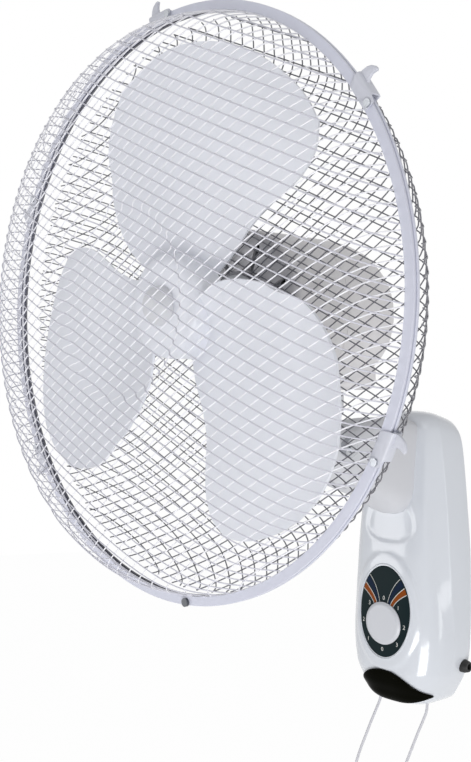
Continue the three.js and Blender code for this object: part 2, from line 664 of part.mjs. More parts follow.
// How far the outer edge lies inside the tip circle, from the leading corner to the trailing one.
const tipDrop = reader([[0, 20], [0.08, 14], [0.25, 8], [0.45, 3], [0.65, 0], [0.8, 1.5], [0.92, 8], [1, 19]]);
const tipEdge = (u) => tipR - tipDrop(u);
const leadY = -286;
const trailY = -315;
const bladeCamber = 4;
const bladeRoot = hubR - 5;
const chordSteps = 6;
const spanSteps = 4;

function bladeForm(turn) {
  const side = (s) => {
    const points = [];
    for (let i = 0; i <= spanSteps; i += 1) {
      for (let k = 0; k <= chordSteps; k += 1) {
        const u = k / chordSteps;
        const r = bladeRoot + ((tipEdge(u) - bladeRoot) * i) / spanSteps;
        const angle = rad(bladePhase + turn + leadAngle(r) + (trailAngle(r) - leadAngle(r)) * u);
        const narrow = 0.78 + 0.22 * Math.min(1, (r - bladeRoot) / 60);
        const middle = (leadY + trailY) / 2;
        const y = middle + (leadY - middle) * narrow * (1 - 2 * u) + bladeCamber * Math.sin(Math.PI * u);
        const edge = Math.min(1, 0.35 + 4 * Math.min(u, 1 - u, (spanSteps - i) / spanSteps));
        points.push([r * Math.cos(angle), y + (s * bladeThickness * edge) / 2, fanAxisZ + r * Math.sin(angle)]);
      }
    }
    return points;
  };
  const n = (chordSteps + 1) * (spanSteps + 1);
  const row = chordSteps + 1;
  const index = [];
  for (let i = 0; i < spanSteps; i += 1) {
    for (let k = 0; k < chordSteps; k += 1) {
      const [a, b, c, d] = [i * row + k, i * row + k + 1, (i + 1) * row + k + 1, (i + 1) * row + k];
      index.push(a, b, c, a, c, d, n + a, n + c, n + b, n + a, n + d, n + c);
    }
  }
  const rim = [];
  for (let k = 0; k < chordSteps; k += 1) rim.push([k, k + 1]);
  for (let i = 0; i < spanSteps; i += 1) rim.push([i * row + chordSteps, (i + 1) * row + chordSteps]);
  for (let k = chordSteps; k > 0; k -= 1) rim.push([spanSteps * row + k, spanSteps * row + k - 1]);
  for (let i = spanSteps; i > 0; i -= 1) rim.push([i * row, (i - 1) * row]);
  for (const [a, b] of rim) index.push(a, n + b, b, a, n + a, n + b);
  const g = new THREE.BufferGeometry();
  g.setAttribute('position', new THREE.Float32BufferAttribute([...side(-1), ...side(1)].flat(), 3));
  g.setIndex(index);
  return closed(g);
}

const hubForm = turnedY([[shaftR + gap, hubFrontY], [hubR - 7, hubFrontY], [hubR - 2, hubFrontY + 2.5], [hubR, hubFrontY + 8],
  [hubR, hubRearY], [hubR - 5, hubRearY], [hubR - 5, hubFrontY + 6], [10, hubFrontY + 6], [10, hubRearY - 2],
  [shaftR + gap, hubRearY - 2]], 24);
add('fan_blades', shaped(hubForm, {
  add: Array.from({ length: bladeCount }, (_, i) => bladeForm((fullTurn * i) / bladeCount)),
}), lilacWhite, 0.35);

add('blade_nut', turnedY([[0, shaftFrontY - 8], [6, shaftFrontY - 7.4], [11, shaftFrontY - 5], [14.5, hubFrontY - 3],
  [15, hubFrontY - gap], [shaftR + gap, hubFrontY - gap], [shaftR + gap, shaftFrontY - gap], [0, shaftFrontY - gap]], 20),
white, 0.3);

// ---------------------------------------------------------------- guards
// A dished guard with rings and spokes. bands lists [radius, forward] pairs from the middle out; the interval that
// follows each pair is a solid ring where its third value is true, and is windows between spokes elsewhere.
function dishedGuard(bands, forwardSign) {
  const half = guardThickness / 2;
  const count = bands.length;
  const normals = bands.map((_, i) => {
    const [a, b] = [bands[Math.max(0, i - 1)], bands[Math.min(count - 1, i + 1)]];
    const [dr, df] = [b[0] - a[0], b[1] - a[1]];
    const length = Math.hypot(dr, df);
    return [-df / length, dr / length];
  });
  const columns = 2 * spokeCount;
  const position = [];
  for (const s of [1, -1]) {
    for (let i = 0; i < count; i += 1) {
      const r = bands[i][0] + normals[i][0] * half * s;
      const f = bands[i][1] + normals[i][1] * half * s;
      const spread = Math.min(Math.asin(spokeWidth / 2 / bands[i][0]), Math.PI / spokeCount / 2);
      for (let k = 0; k < columns; k += 1) {
        const middle = (2 * Math.PI * Math.floor(k / 2)) / spokeCount;
        const angle = middle + (k % 2 === 0 ? -spread : spread);
        position.push(r * Math.cos(angle), ringPlaneY - forwardSign * f, fanAxisZ + r * Math.sin(angle));
      }
    }
  }
  const filled = (i, k) => {
    if (i < 0 || i >= count - 1) return false;
    return bands[i][2] || (((k % columns) + columns) % columns) % 2 === 0;
  };
  const back = count * columns;
  const index = [];
  const quad = (a, b, c, d) => index.push(a, b, c, a, c, d);
  for (let i = 0; i < count - 1; i += 1) {
    for (let k = 0; k < columns; k += 1) {
      if (!filled(i, k)) continue;
      const m = (k + 1) % columns;
      const [a, b, c, d] = [i * columns + k, i * columns + m, (i + 1) * columns + m, (i + 1) * columns + k];
      quad(a, b, c, d);
      quad(back + a, back + d, back + c, back + b);
      if (!filled(i - 1, k)) quad(a, back + a, back + b, b);
      if (!filled(i + 1, k)) quad(c, back + c, back + d, d);
      if (!filled(i, k + 1)) quad(b, back + b, back + c, c);
      if (!filled(i, k - 1)) quad(d, back + d, back + a, a);
    }
  }
  const g = new THREE.BufferGeometry();
  g.setAttribute('position', new THREE.Float32BufferAttribute(position, 3));
  g.setIndex(index);
  return closed(g);
}

const rimR = ringInnerR - gap - guardThickness;
// Radius and how far the front guard stands ahead of the ring plane.
const frontBands = [[12, frontDiscDepth, true], [18, frontDiscDepth, false], [frontDiscR - 2.5, frontDiscDepth, true],
  [frontDiscR, frontDiscDepth, false], [frontCrestR, frontGuardDepth - 0.3, true], [frontCrestR + 3, frontGuardDepth, false],
  [119, frontGuardDepth - 2.3, true], [122, frontGuardDepth - 2.7, false], [rimR - 46.5, 48.7, true], [rimR - 43.5, 48, false],
  [rimR - 22.5, 39.5, false], [rimR - 9.5, 29.5, false], [rimR - 2.5, 15.5, false], [rimR, 4, true], [rimR + 0.3, 0.8, true]];
add('front_guard', dishedGuard(frontBands, 1), white, 0.3);

const mountPlateR = 52;
const rearBands = [[noseR + gap + 0.4, rearGuardDepth, true], [mountPlateR, rearGuardDepth, false], [98, rearGuardDepth, true],
  [101, rearGuardDepth, false], [rimR - 66.5, rearGuardDepth, true], [rimR - 63.5, rearGuardDepth - 0.2, false],
  [rimR - 39.5, 56.4, false], [rimR - 20.5, 45.5, true], [rimR - 18.5, 43.5, false], [rimR - 8.5, 30, false],
  [rimR - 2.5, 15.5, false], [rimR, 4, true], [rimR + 0.3, 0.8, true]];
add('rear_guard', dishedGuard(rearBands, -1), white, 0.3);

// Lock nut that clamps the rear guard to the motor's nose.
const nutRearY = ringPlaneY + rearGuardDepth - guardThickness / 2 - gap;
add('guard_nut', shaped(turnedY([[noseR + gap, nutRearY], [noseR + 9, nutRearY], [noseR + 9, nutRearY - 3],
  [noseR + 6, nutRearY - 8], [noseR + gap, nutRearY - 8]], 18), {
  cut: Array.from({ length: 6 }, (_, i) => barY(2.6, nutRearY - 12, nutRearY - 3, noseR + 10, 0, 6)
    .rotateY(rad((fullTurn * i) / 6)).translate(0, 0, fanAxisZ)),
}), white, 0.4);

// ---------------------------------------------------------------- rings, clips, rivets and the bottom screw
const frontRingFace = ringPlaneY - gap / 2 - ringDepth;
const rearRingFace = ringPlaneY + gap / 2 + ringDepth;
const ringSides = 44;
const ringScrewAngle = clipFirstAngle - 180;
const rivetR = 1.6;
const rivetRadius = (ringInnerR + ringOuterR) / 2;

function onRing(geometry, angle) {
  return geometry.rotateY(-rad(angle)).translate(0, 0, fanAxisZ);
}

const clipAngles = Array.from({ length: clipCount }, (_, i) => clipFirstAngle - clipStep * (i < 3 ? i : i + 1));
const rivetTurn = (clipLength - 4) / 2 / ringOuterR; // radians from the clip's middle to its rivet

function rivetAngle(clipAngle) {
  return clipAngle - THREE.MathUtils.radToDeg(rivetTurn);
}

add('front_ring', shaped(tubeY(ringInnerR, ringOuterR, frontRingFace, ringPlaneY - gap / 2, ringSides), {
  cut: [
    onRing(barY(1.8 + gap, ringPlaneY - 12, ringPlaneY + 12, rivetRadius, 0, 8), ringScrewAngle),
    ...clipAngles.map((a) => onRing(barY(rivetR + gap, frontRingFace - 2, ringPlaneY - 1.2, rivetRadius, 0, 8), rivetAngle(a))),
  ],
}), white, 0.3);
add('rear_ring', shaped(tubeY(ringInnerR, ringOuterR, ringPlaneY + gap / 2, rearRingFace, ringSides), {
  cut: [onRing(barY(1.8 + gap, ringPlaneY - 12, ringPlaneY + 12, rivetRadius, 0, 8), ringScrewAngle)],
}), white, 0.3);

add('ring_screw', onRing(closed(shaped(barY(1.8, frontRingFace - 0.5, rearRingFace + 6, rivetRadius, 0, 10), {
  add: [barY(3.2, frontRingFace - 2.6, frontRingFace - gap, rivetRadius, 0, 12)],
})), ringScrewAngle), steel, 0.2, 0.9);
add('ring_nut', onRing(shaped(barY(3.6, rearRingFace + gap, rearRingFace + 3.6, rivetRadius, 0, 6), {
  cut: [barY(1.8 + gap, rearRingFace - 5, rearRingFace + 9, rivetRadius, 0, 10)],
}), ringScrewAngle), steel, 0.3, 0.9);

// Clip: a U-section that grips both rings, with a finger tab, turning on a rivet at its lower end.
function clipForm() {
  const half = clipLength / 2;
  const pivot = half - 2;
  const frontY = frontRingFace - gap;
  const rearY = rearRingFace + gap;
  const inR = ringInnerR - 1.6;
  const outR = ringOuterR + 0.9;
  // Drawn with the ring's tangent along Z at angle 0: the clip's rivet end is at -pivot.
  return shaped(box(inR, outR + clipPlate, frontY - clipPlate, frontY, -half, half), {
    add: [
      box(outR, outR + clipPlate, frontY - clipPlate, rearY + clipPlate, -half + 7, half),
      box(inR, outR + clipPlate, rearY, rearY + clipPlate, -half + 7, half),
      box(outR, outR + 12, frontY + 1.6, rearY - 1.6, half - 9, half),
    ],
    cut: [barY(rivetR + gap, frontY - 5, frontY + 0.2, rivetRadius, -pivot, 8)],
  });
}

clipAngles.forEach((angle, i) => {
  add(`clip_${i + 1}`, onRing(clipForm(), angle), lilacWhite, 0.35);
  const head = frontRingFace - gap - clipPlate - gap;
  add(`clip_rivet_${i + 1}`, onRing(shaped(barY(rivetR, head - 0.2, ringPlaneY - 1.6, rivetRadius, 0, 8), {
    add: [barY(2.8, head - 1.2, head, rivetRadius, 0, 8)],
  }).translate(0, 0, -(clipLength / 2 - 2)), angle), steel, 0.3, 0.9);
});

export default group;
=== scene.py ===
import math

import bpy
from mathutils import Matrix, Vector


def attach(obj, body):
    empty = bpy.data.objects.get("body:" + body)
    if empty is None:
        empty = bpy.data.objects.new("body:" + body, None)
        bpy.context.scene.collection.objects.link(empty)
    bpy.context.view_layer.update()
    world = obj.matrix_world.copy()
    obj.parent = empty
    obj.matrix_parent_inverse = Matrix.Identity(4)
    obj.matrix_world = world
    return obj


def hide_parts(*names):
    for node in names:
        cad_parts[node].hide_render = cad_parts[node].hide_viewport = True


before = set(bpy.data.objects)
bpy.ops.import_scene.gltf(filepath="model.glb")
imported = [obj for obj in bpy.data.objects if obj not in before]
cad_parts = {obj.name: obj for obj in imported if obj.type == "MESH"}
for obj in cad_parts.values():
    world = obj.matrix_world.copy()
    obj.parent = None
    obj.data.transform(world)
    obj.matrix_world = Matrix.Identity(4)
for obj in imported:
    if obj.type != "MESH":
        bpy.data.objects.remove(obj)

mm = 0.001
ops = bpy.ops
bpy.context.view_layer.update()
ops.object.select_all(action="DESELECT")


def tone(red, green, blue):
    # a colour as a picture editor shows it, turned into the linear values that shaders take
    linear = [(c / 255 / 12.92) if c <= 10 else ((c / 255 + 0.055) / 1.055) ** 2.4 for c in (red, green, blue)]
    return (*linear, 1.0)


def choose(piece):
    ops.object.select_all(action="DESELECT")
    piece.select_set(True)
    bpy.context.view_layer.objects.active = piece


def smoothReader(pairs):
    # smooth curve through (position, value) pairs, read at one position
    xs = [p[0] for p in pairs]
    ys = [p[1] for p in pairs]
    steps = [(ys[i + 1] - ys[i]) / (xs[i + 1] - xs[i]) for i in range(len(xs) - 1)]
    slopes = [steps[0]]
    for a, b in zip(steps, steps[1:]):
        slopes.append(0.0 if a * b <= 0 else 2 * a * b / (a + b))
    slopes.append(steps[-1])

    def read(x):
        x = min(max(x, xs[0]), xs[-1])
        i = 0
        while i < len(xs) - 2 and x > xs[i + 1]:
            i += 1
        width = xs[i + 1] - xs[i]
        t = (x - xs[i]) / width
        return ((1 + 2 * t) * (1 - t) ** 2 * ys[i] + t * (1 - t) ** 2 * width * slopes[i]
                + t * t * (3 - 2 * t) * ys[i + 1] + t * t * (t - 1) * width * slopes[i + 1])
    return read


def soft(t):
    t = min(max(t, 0.0), 1.0)
    return t * t * (3 - 2 * t)


def applyAll(piece):
    choose(piece)
    for modifier in list(piece.modifiers):
        ops.object.modifier_apply(modifier=modifier.name)


def smooth(piece, angle=35):
    choose(piece)
    ops.object.shade_smooth_by_angle(angle=math.radians(angle))


def tidyMesh(piece, closed=True, flip=False, reach=0.00001):
    choose(piece)
    ops.object.mode_set(mode="EDIT")
    ops.mesh.select_all(action="SELECT")
    ops.mesh.remove_doubles(threshold=reach)
    if closed:
        ops.mesh.normals_make_consistent(inside=False)
    if flip:
        ops.mesh.flip_normals()
    ops.object.mode_set(mode="OBJECT")


def formed(name, columns, rows, place, closed=True, flip=False):
    # a grid whose points are moved to place(u, v), in millimetres, with u and v from 0 to 1
    ops.mesh.primitive_grid_add(x_subdivisions=columns, y_subdivisions=rows, size=1)
    piece = bpy.context.object
    piece.name = name
    for point in piece.data.vertices:
        u, v = point.co.x + 0.5, point.co.y + 0.5
        point.co = Vector(place(min(max(u, 0), 1), min(max(v, 0), 1))) * mm
    tidyMesh(piece, closed, flip)
    return piece


def turned(name, profile, centre=(0, -300, 215), axis="Y", sides=72, round_=0.0, segments=3):
    # a closed profile of (radius, position along the axis), spun about that axis through centre
    cx, cy, cz = centre
    spots = {"X": lambda r, t: (t, cy + r, cz), "Y": lambda r, t: (cx + r, t, cz), "Z": lambda r, t: (cx + r, cy, t)}
    line = [Vector(spots[axis](r, t)) * mm for r, t in profile]
    ops.mesh.primitive_plane_add(size=0.001, location=line[0])
    piece = bpy.context.object
    piece.name = name
    ops.object.transform_apply(location=True, rotation=True, scale=True)
    ops.object.mode_set(mode="EDIT")
    ops.mesh.select_mode(type="VERT")
    ops.mesh.select_all(action="SELECT")
    ops.mesh.merge(type="CENTER")
    for here, there in zip(line, line[1:]):
        ops.mesh.extrude_vertices_move(TRANSFORM_OT_translate={"value": there - here})
    if (line[-1] - line[0]).length > 1e-7 and not (abs(profile[0][0]) < 1e-6 and abs(profile[-1][0]) < 1e-6):
        ops.mesh.select_all(action="DESELECT")
        ops.object.mode_set(mode="OBJECT")
        piece.data.vertices[0].select = True
        piece.data.vertices[-1].select = True
        ops.object.mode_set(mode="EDIT")
        ops.mesh.edge_face_add()
    ops.mesh.select_all(action="SELECT")
    around = {"X": (1, 0, 0), "Y": (0, 1, 0), "Z": (0, 0, 1)}[axis]
    ops.mesh.spin(steps=sides, angle=2 * math.pi, center=Vector(centre) * mm, axis=around)
    ops.object.mode_set(mode="OBJECT")
    tidyMesh(piece)
    if round_:
        soften(piece, round_, segments)
    return piece


def soften(piece, width, segments=3, angle=30):
    bevel = piece.modifiers.new("edges", "BEVEL")
    bevel.width = width * mm
    bevel.segments = segments
    bevel.limit_method = "ANGLE"
    bevel.angle_limit = math.radians(angle)
    bevel.harden_normals = False
    applyAll(piece)


def block(name, low, high, round_=0.0, segments=3):
    centre = [(a + b) / 2 * mm for a, b in zip(low, high)]
    ops.mesh.primitive_cube_add(size=1, location=centre)
    piece = bpy.context.object
    piece.name = name
    piece.scale = [(b - a) * mm for a, b in zip(low, high)]
    ops.object.transform_apply(location=True, rotation=True, scale=True)
    if round_:
        soften(piece, round_, segments)
    return piece


def joined(name, pieces):
    ops.object.select_all(action="DESELECT")
    for piece in pieces:
        piece.select_set(True)
    bpy.context.view_layer.objects.active = pieces[0]
    ops.object.join()
    piece = bpy.context.object
    piece.name = name
    return piece


def boolean(piece, other, how):
    cut = piece.modifiers.new("cut", "BOOLEAN")
    cut.operation = how
    cut.solver = "EXACT"
    cut.object = other
    applyAll(piece)
    bpy.data.objects.remove(other)
    return piece


def turnAbout(piece, degrees, centre=(0, 0, 215)):
    # turns a piece anticlockwise as seen from the front, about the fan's axis
    turn = (Matrix.Translation(Vector(centre) * mm) @ Matrix.Rotation(math.radians(-degrees), 4, "Y")
            @ Matrix.Translation(Vector(centre) * -mm))
    piece.data.transform(turn)


def painted(name, colour, roughness=0.4, metallic=0.0, coat=0.0, mottle=0.02, mottleScale=30.0,
            grain=0.02, grainScale=900.0, wear=0.05, specular=0.5, stretch=(1, 1, 1)):
    # moulded plastic, paint or metal: slow colour drift, fine surface grain and uneven gloss
    material = bpy.data.materials.new(name)
    material.use_nodes = True
    nodes, links = material.node_tree.nodes, material.node_tree.links
    shader = nodes["Principled BSDF"]
    shader.inputs["Metallic"].default_value = metallic
    shader.inputs["Specular IOR Level"].default_value = specular
    shader.inputs["Coat Weight"].default_value = coat
    shader.inputs["Coat Roughness"].default_value = 0.06
    where = nodes.new("ShaderNodeTexCoord")
    scaled = nodes.new("ShaderNodeMapping")
    scaled.inputs["Scale"].default_value = stretch
    links.new(where.outputs["Object"], scaled.inputs["Vector"])
    slow = nodes.new("ShaderNodeTexNoise")
    slow.inputs["Scale"].default_value = mottleScale
    slow.inputs["Detail"].default_value = 4.0
    links.new(scaled.outputs["Vector"], slow.inputs["Vector"])
    drift = nodes.new("ShaderNodeMix")
    drift.data_type = "RGBA"
    drift.inputs["A"].default_value = tuple(c * (1 - mottle) for c in colour[:3]) + (1,)
    drift.inputs["B"].default_value = tuple(min(1, c * (1 + mottle)) for c in colour[:3]) + (1,)
    links.new(slow.outputs["Fac"], drift.inputs["Factor"])
    links.new(drift.outputs["Result"], shader.inputs["Base Color"])
    gloss = nodes.new("ShaderNodeMapRange")
    gloss.inputs["To Min"].default_value = max(0.02, roughness - wear)
    gloss.inputs["To Max"].default_value = min(1.0, roughness + wear)
    links.new(slow.outputs["Fac"], gloss.inputs["Value"])
    links.new(gloss.outputs["Result"], shader.inputs["Roughness"])
    fine = nodes.new("ShaderNodeTexNoise")
    fine.inputs["Scale"].default_value = grainScale
    fine.inputs["Detail"].default_value = 2.0
    links.new(scaled.outputs["Vector"], fine.inputs["Vector"])
    bump = nodes.new("ShaderNodeBump")
    bump.inputs["Strength"].default_value = grain
    bump.inputs["Distance"].default_value = 0.0005
    links.new(fine.outputs["Fac"], bump.inputs["Height"])
    links.new(bump.outputs["Normal"], shader.inputs["Normal"])
    return material


def dress(piece, material, body=None, replaced=()):
    if material:
        piece.data.materials.clear()
        piece.data.materials.append(material)
    if body:
        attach(piece, body)
    if replaced:
        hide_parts(*replaced)
    return piece


# camera: eye level with the middle of the base, to the fan's right front
camera = {"place": (0.576, -0.7828, 0.1598), "turn": 46.8, "lens": 47.735, "sensor": 36, "reach": 60}
ops.object.camera_add(location=camera["place"], rotation=(math.radians(90), 0, math.radians(camera["turn"])))
bpy.context.scene.camera = bpy.context.object
bpy.context.object.data.lens = camera["lens"]
bpy.context.object.data.sensor_width = camera["sensor"]
bpy.context.object.data.clip_end = camera["reach"]
print("camera placed")

glossWhite = painted("gloss white plastic", tone(213, 217, 224), 0.16, coat=0.6, mottle=0.012, mottleScale=18,
                     grain=0.012, grainScale=1400, wear=0.03)
whitePlastic = painted("satin white plastic", tone(222, 223, 227), 0.34, mottle=0.02)
knobWhite = painted("knob plastic", tone(205, 207, 213), 0.30, mottle=0.02, grain=0.03)
wireCoat = painted("wire coating", tone(244, 244, 250), 0.30, mottle=0.03, mottleScale=60, specular=0.6)
# a greyer copy of the white wire coating for the front guard's falling wires: painted shade standing in for how light
# falls on them, though all the wires share one coat
fallingWireShadeCoat = painted("greyer wire coating", tone(206, 206, 216), 0.34, mottle=0.04, mottleScale=60, specular=0.4)
# dark grey for the rear guard's wires, rim and seat: painted shade, since the rear guard has the same white coat as
# the front
shadedCoat = painted("rear wire coating", tone(126, 126, 133), 0.38, mottle=0.06, mottleScale=60, specular=0.4)
ringCoat = painted("ring enamel", tone(208, 210, 224), 0.30, mottle=0.03, mottleScale=24, coat=0.2)
bladePlastic = painted("blade plastic", tone(234, 236, 243), 0.30, mottle=0.02, mottleScale=14, grain=0.02)
clipPlastic = painted("clip plastic", tone(204, 206, 216), 0.33, mottle=0.03)
armPlastic = painted("arm plastic", tone(209, 210, 215), 0.58, mottle=0.02, grain=0.12, grainScale=1600, wear=0.06)
motorPlastic = painted("motor cover plastic", tone(224, 222, 224), 0.42, mottle=0.03, grain=0.06)
cordFibre = painted("cord fibre", tone(206, 206, 212), 0.7, mottle=0.03, mottleScale=300, grain=0.03, grainScale=900)
panelDark = painted("dial panel enamel", tone(24, 37, 40), 0.38, mottle=0.05, mottleScale=20, specular=0.06)
smokedBlack = painted("smoked window", tone(9, 9, 5), 0.12, mottle=0.5, mottleScale=16, grain=0.004, wear=0.03,
                      specular=0.01)
blackPlastic = painted("black plastic", tone(16, 16, 16), 0.5, mottle=0.08, grain=0.15)
orangeInk = painted("orange ink", tone(134, 66, 14), 0.4, mottle=0.05, specular=0.1)
navyInk = painted("navy ink", tone(18, 33, 56), 0.4, mottle=0.05, specular=0.06)
whiteInk = painted("white ink", tone(214, 214, 210), 0.4, mottle=0.03)
zinc = painted("zinc plate", tone(176, 179, 184), 0.32, metallic=0.95, mottle=0.12, mottleScale=120, wear=0.1)
steel = painted("ground steel", tone(190, 192, 196), 0.24, metallic=1.0, mottle=0.08, mottleScale=200, grain=0.15,
                stretch=(1, 6, 1))
pressedSteel = painted("pressed steel plate", tone(170, 172, 176), 0.38, metallic=0.9, mottle=0.10, mottleScale=60,
                       grain=0.08, wear=0.12)
darkSteel = painted("dark steel", tone(92, 94, 98), 0.34, metallic=0.9, mottle=0.08, mottleScale=200)
brass = painted("brass", tone(186, 158, 96), 0.32, metallic=0.9, mottle=0.10, mottleScale=80)
castAluminium = painted("cast aluminium", tone(176, 177, 180), 0.46, metallic=0.85, mottle=0.12, mottleScale=70,
                        grain=0.35, grainScale=700, wear=0.12)
coreSteel = painted("laminated core", tone(96, 98, 102), 0.5, metallic=0.7, mottle=0.15, grain=0.4, grainScale=1500,
                    stretch=(0.2, 8, 0.2))
enamelledWire = painted("enamelled copper wire", tone(150, 76, 38), 0.3, metallic=0.4, mottle=0.2, mottleScale=300,
                        grain=0.6, grainScale=1200, stretch=(1, 0.3, 1))
boardGreen = painted("circuit board", tone(40, 96, 56), 0.45, mottle=0.08, mottleScale=160)
greyPlastic = painted("inner plastic", tone(204, 204, 202), 0.55, mottle=0.03, grain=0.1)
print("materials ready")

# pull cords: limp round cords that lean out and forward, each with a small turned knob at its end
cords = {"x": 26.5, "y": -28, "mouth": -130.8, "thickness": 2.6,
         "route": [(0, 0, 0), (0, 0, 3), (-0.4, -1, 10), (-3, -4, 20), (-6.5, -7.5, 32), (-10, -11, 45),
                   (-13.5, -14.5, 58), (-16.5, -17.5, 72), (-18.5, -19.5, 86), (-19.6, -20.6, 100), (-20, -21, 114),
                   (-20, -21, 128), (-20, -21, 142)]}


def throughPoints(points, each):
    # smooth line through the points
    out = []
    for i in range(len(points) - 1):
        a, b, c, d = (Vector(points[max(0, min(len(points) - 1, i + k))]) for k in (-1, 0, 1, 2))
        for k in range(each):
            t = k / each
            out.append(0.5 * ((2 * b) + (c - a) * t + (2 * a - 5 * b + 4 * c - d) * t * t
                              + (3 * b - a - 3 * c + d) * t ** 3))
    out.append(Vector(points[-1]))
    return out


def pullCord(side, x):
    places = [(x + dx, cords["y"] + dy, cords["mouth"] - down) for dx, dy, down in cords["route"]]
    line = throughPoints(places, 3)
    data = bpy.data.curves.new(f"pull_cord_{side}_lay", "CURVE")
    data.dimensions = "3D"
    spline = data.splines.new("POLY")
    spline.points.add(len(line) - 1)
    for point, p in zip(spline.points, line):
        point.co = (*(p * mm), 1)
    data.bevel_depth = cords["thickness"] / 2 * mm
    data.bevel_resolution = 3
    data.use_fill_caps = True
    flex = bpy.data.objects.new(f"pull_cord_{side}_lay", data)
    bpy.context.collection.objects.link(flex)
    data.materials.append(cordFibre)
    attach(flex, f"{side}_pull")
    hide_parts(f"pull_cord_{side}")
    foot = places[-1]
    profile = [(0, 0), (2.0, 0), (2.6, -0.8), (3.0, -2), (3.6, -4), (4.3, -7), (4.9, -10), (5.15, -13), (5.0, -15.5),
               (4.4, -17.8), (3.4, -19.2), (2.0, -19.8), (0, -20)]
    knob = turned(f"pull_knob_{side}_turned", [(r, foot[2] - 0.2 + z) for r, z in profile], foot, "Z", 40)
    smooth(knob)
    dress(knob, glossWhite, f"{side}_pull", (f"pull_knob_{side}",))
    return flex


pullCord("left", -cords["x"])
pullCord("right", cords["x"])
print("pull cords hung")

# guards: two families of fine wires laid straight across the guard and pressed to its dome
guards = {"axisZ": 215, "plane": -300, "reach": 211.8, "wire": 1.0, "lift": 0.40, "rearBore": 29, "rimR": 212.2,
          "rimWire": 0.8, "rows": 40, "along": (8.6, -4.1), "across": (8.4, 5.1),
          "frontDome": [(0, 53), (60, 53), (64, 53.1), (66.5, 54.2), (69.5, 57.0), (72, 58.2), (76, 58.5), (84, 58.4),
                        (106, 57.4), (130, 55.2), (153, 51.3), (165, 48.5), (177, 44.8), (189, 39.8), (198, 34.2),
                        (204, 27), (208, 18), (211, 8), (213, 2)],
          "rearDome": [(0, 61), (60, 61), (140, 60.8), (159, 59.9), (172, 57.2), (186, 50.5), (196, 39.5), (201, 33),
                       (206, 26.5), (210, 20), (212, 13), (213, 3)]}


def wireNet(name, dome, sign, bore, coats):
    # one mesh for each family of wires: those that fall to the right, then those that rise
    read = smoothReader(dome)
    nets = []
    families = [(guards["along"], guards["across"], guards["lift"], coats[0]),
                (guards["across"], guards["along"], -guards["lift"], coats[1])]
    for (dx, dz), (ox, oz), lift, coat in families:
        data = bpy.data.curves.new(name, "CURVE")
        data.dimensions = "3D"
        data.bevel_depth = guards["wire"] / 2 * mm
        data.bevel_resolution = 1
        data.use_fill_caps = True
        data.materials.append(coat)
        length = math.hypot(dx, dz)
        ux, uz = dx / length, dz / length
        spacing = abs(ox * -uz + oz * ux)
        for k in range(-guards["rows"], guards["rows"] + 1):
            away = k * spacing
            if abs(away) > guards["reach"] - 2:
                continue
            half = math.sqrt(guards["reach"] ** 2 - away ** 2)
            spans = [(-half, half)]
            if abs(away) < bore:
                gone = math.sqrt(bore ** 2 - away ** 2)
                spans = [(-half, -gone), (gone, half)]
            for start, end in spans:
                stops = [start]
                while stops[-1] < end:
                    r = math.hypot(away, stops[-1])
                    stops.append(stops[-1] + (2.2 if 58 < r < 80 or r > 190 else 6.0))
                stops[-1] = end
                spline = data.splines.new("POLY")
                spline.points.add(len(stops) - 1)
                for point, s in zip(spline.points, stops):
                    x, z = -uz * away + ux * s, ux * away + uz * s
                    f = read(math.hypot(x, z)) + lift
                    point.co = (x * mm, (guards["plane"] - sign * f) * mm, (guards["axisZ"] + z) * mm, 1)
        net = bpy.data.objects.new(name, data)
        bpy.context.collection.objects.link(net)
        choose(net)
        ops.object.convert(target="MESH")
        nets.append(bpy.context.object)
    return nets


def roundBar(name, radius, centreR, y, sides=96, corners=10):
    section = [(centreR + radius * math.cos(2 * math.pi * k / corners),
                y + radius * math.sin(2 * math.pi * k / corners)) for k in range(corners)]
    return turned(name, section, sides=sides)


# front net: the falling family takes the greyer coat, which is painted shade; the rising family and the rim take the
# white coat
frontNet = wireNet("front_guard_net", guards["frontDome"], 1, 0, (fallingWireShadeCoat, wireCoat))
frontRim = roundBar("front_rim", guards["rimWire"], guards["rimR"], guards["plane"] - 3.2, 128, 8)
frontRim.data.materials.append(wireCoat)
frontGuard = joined("front_guard_net", [*frontNet, frontRim])
smooth(frontGuard, 60)
dress(frontGuard, None, "head", ("front_guard",))
# the whole rear guard, its nets, rim and seat, takes the dark grey coat, which is painted shade
rearNet = wireNet("rear_guard_net", guards["rearDome"], -1, guards["rearBore"], (shadedCoat, shadedCoat))
rearRim = roundBar("rear_rim", guards["rimWire"], guards["rimR"], guards["plane"] + 0.3, 128, 8)
rearSeat = turned("rear_seat", [(19.9, -238.4), (19.9, -239.6), (31, -239.6), (31, -238.4)], sides=64)
rearGuard = joined("rear_guard_net", [*rearNet, rearRim, rearSeat])
smooth(rearGuard, 60)
dress(rearGuard, shadedCoat, "head", ("rear_guard",))
lockNut = turned("guard_lock_nut", [(19.4, -240.3), (27.9, -240.3), (27.9, -243), (26.6, -245.5), (25.2, -247.9),
                                    (19.4, -247.9)], sides=48, round_=0.5)
smooth(lockNut)
dress(lockNut, whitePlastic, "head", ("guard_nut",))
print("guards woven", len(frontGuard.data.polygons), len(rearGuard.data.polygons))

# rings: flat enamelled bands that clamp the guards together
rings = {"inner": 212.2, "outer": 219.0, "front": (-305.2, -303.1), "rear": (-301.7, -299.3), "edge": 0.35}
for name, (y0, y1), node in (("front_ring_band", rings["front"], "front_ring"),
                             ("rear_ring_band", rings["rear"], "rear_ring")):
    band = turned(name, [(rings["inner"], y0), (rings["outer"], y0), (rings["outer"], y1), (rings["inner"], y1)],
                  sides=192, round_=rings["edge"])
    smooth(band)
    dress(band, ringCoat, "head", (node,))

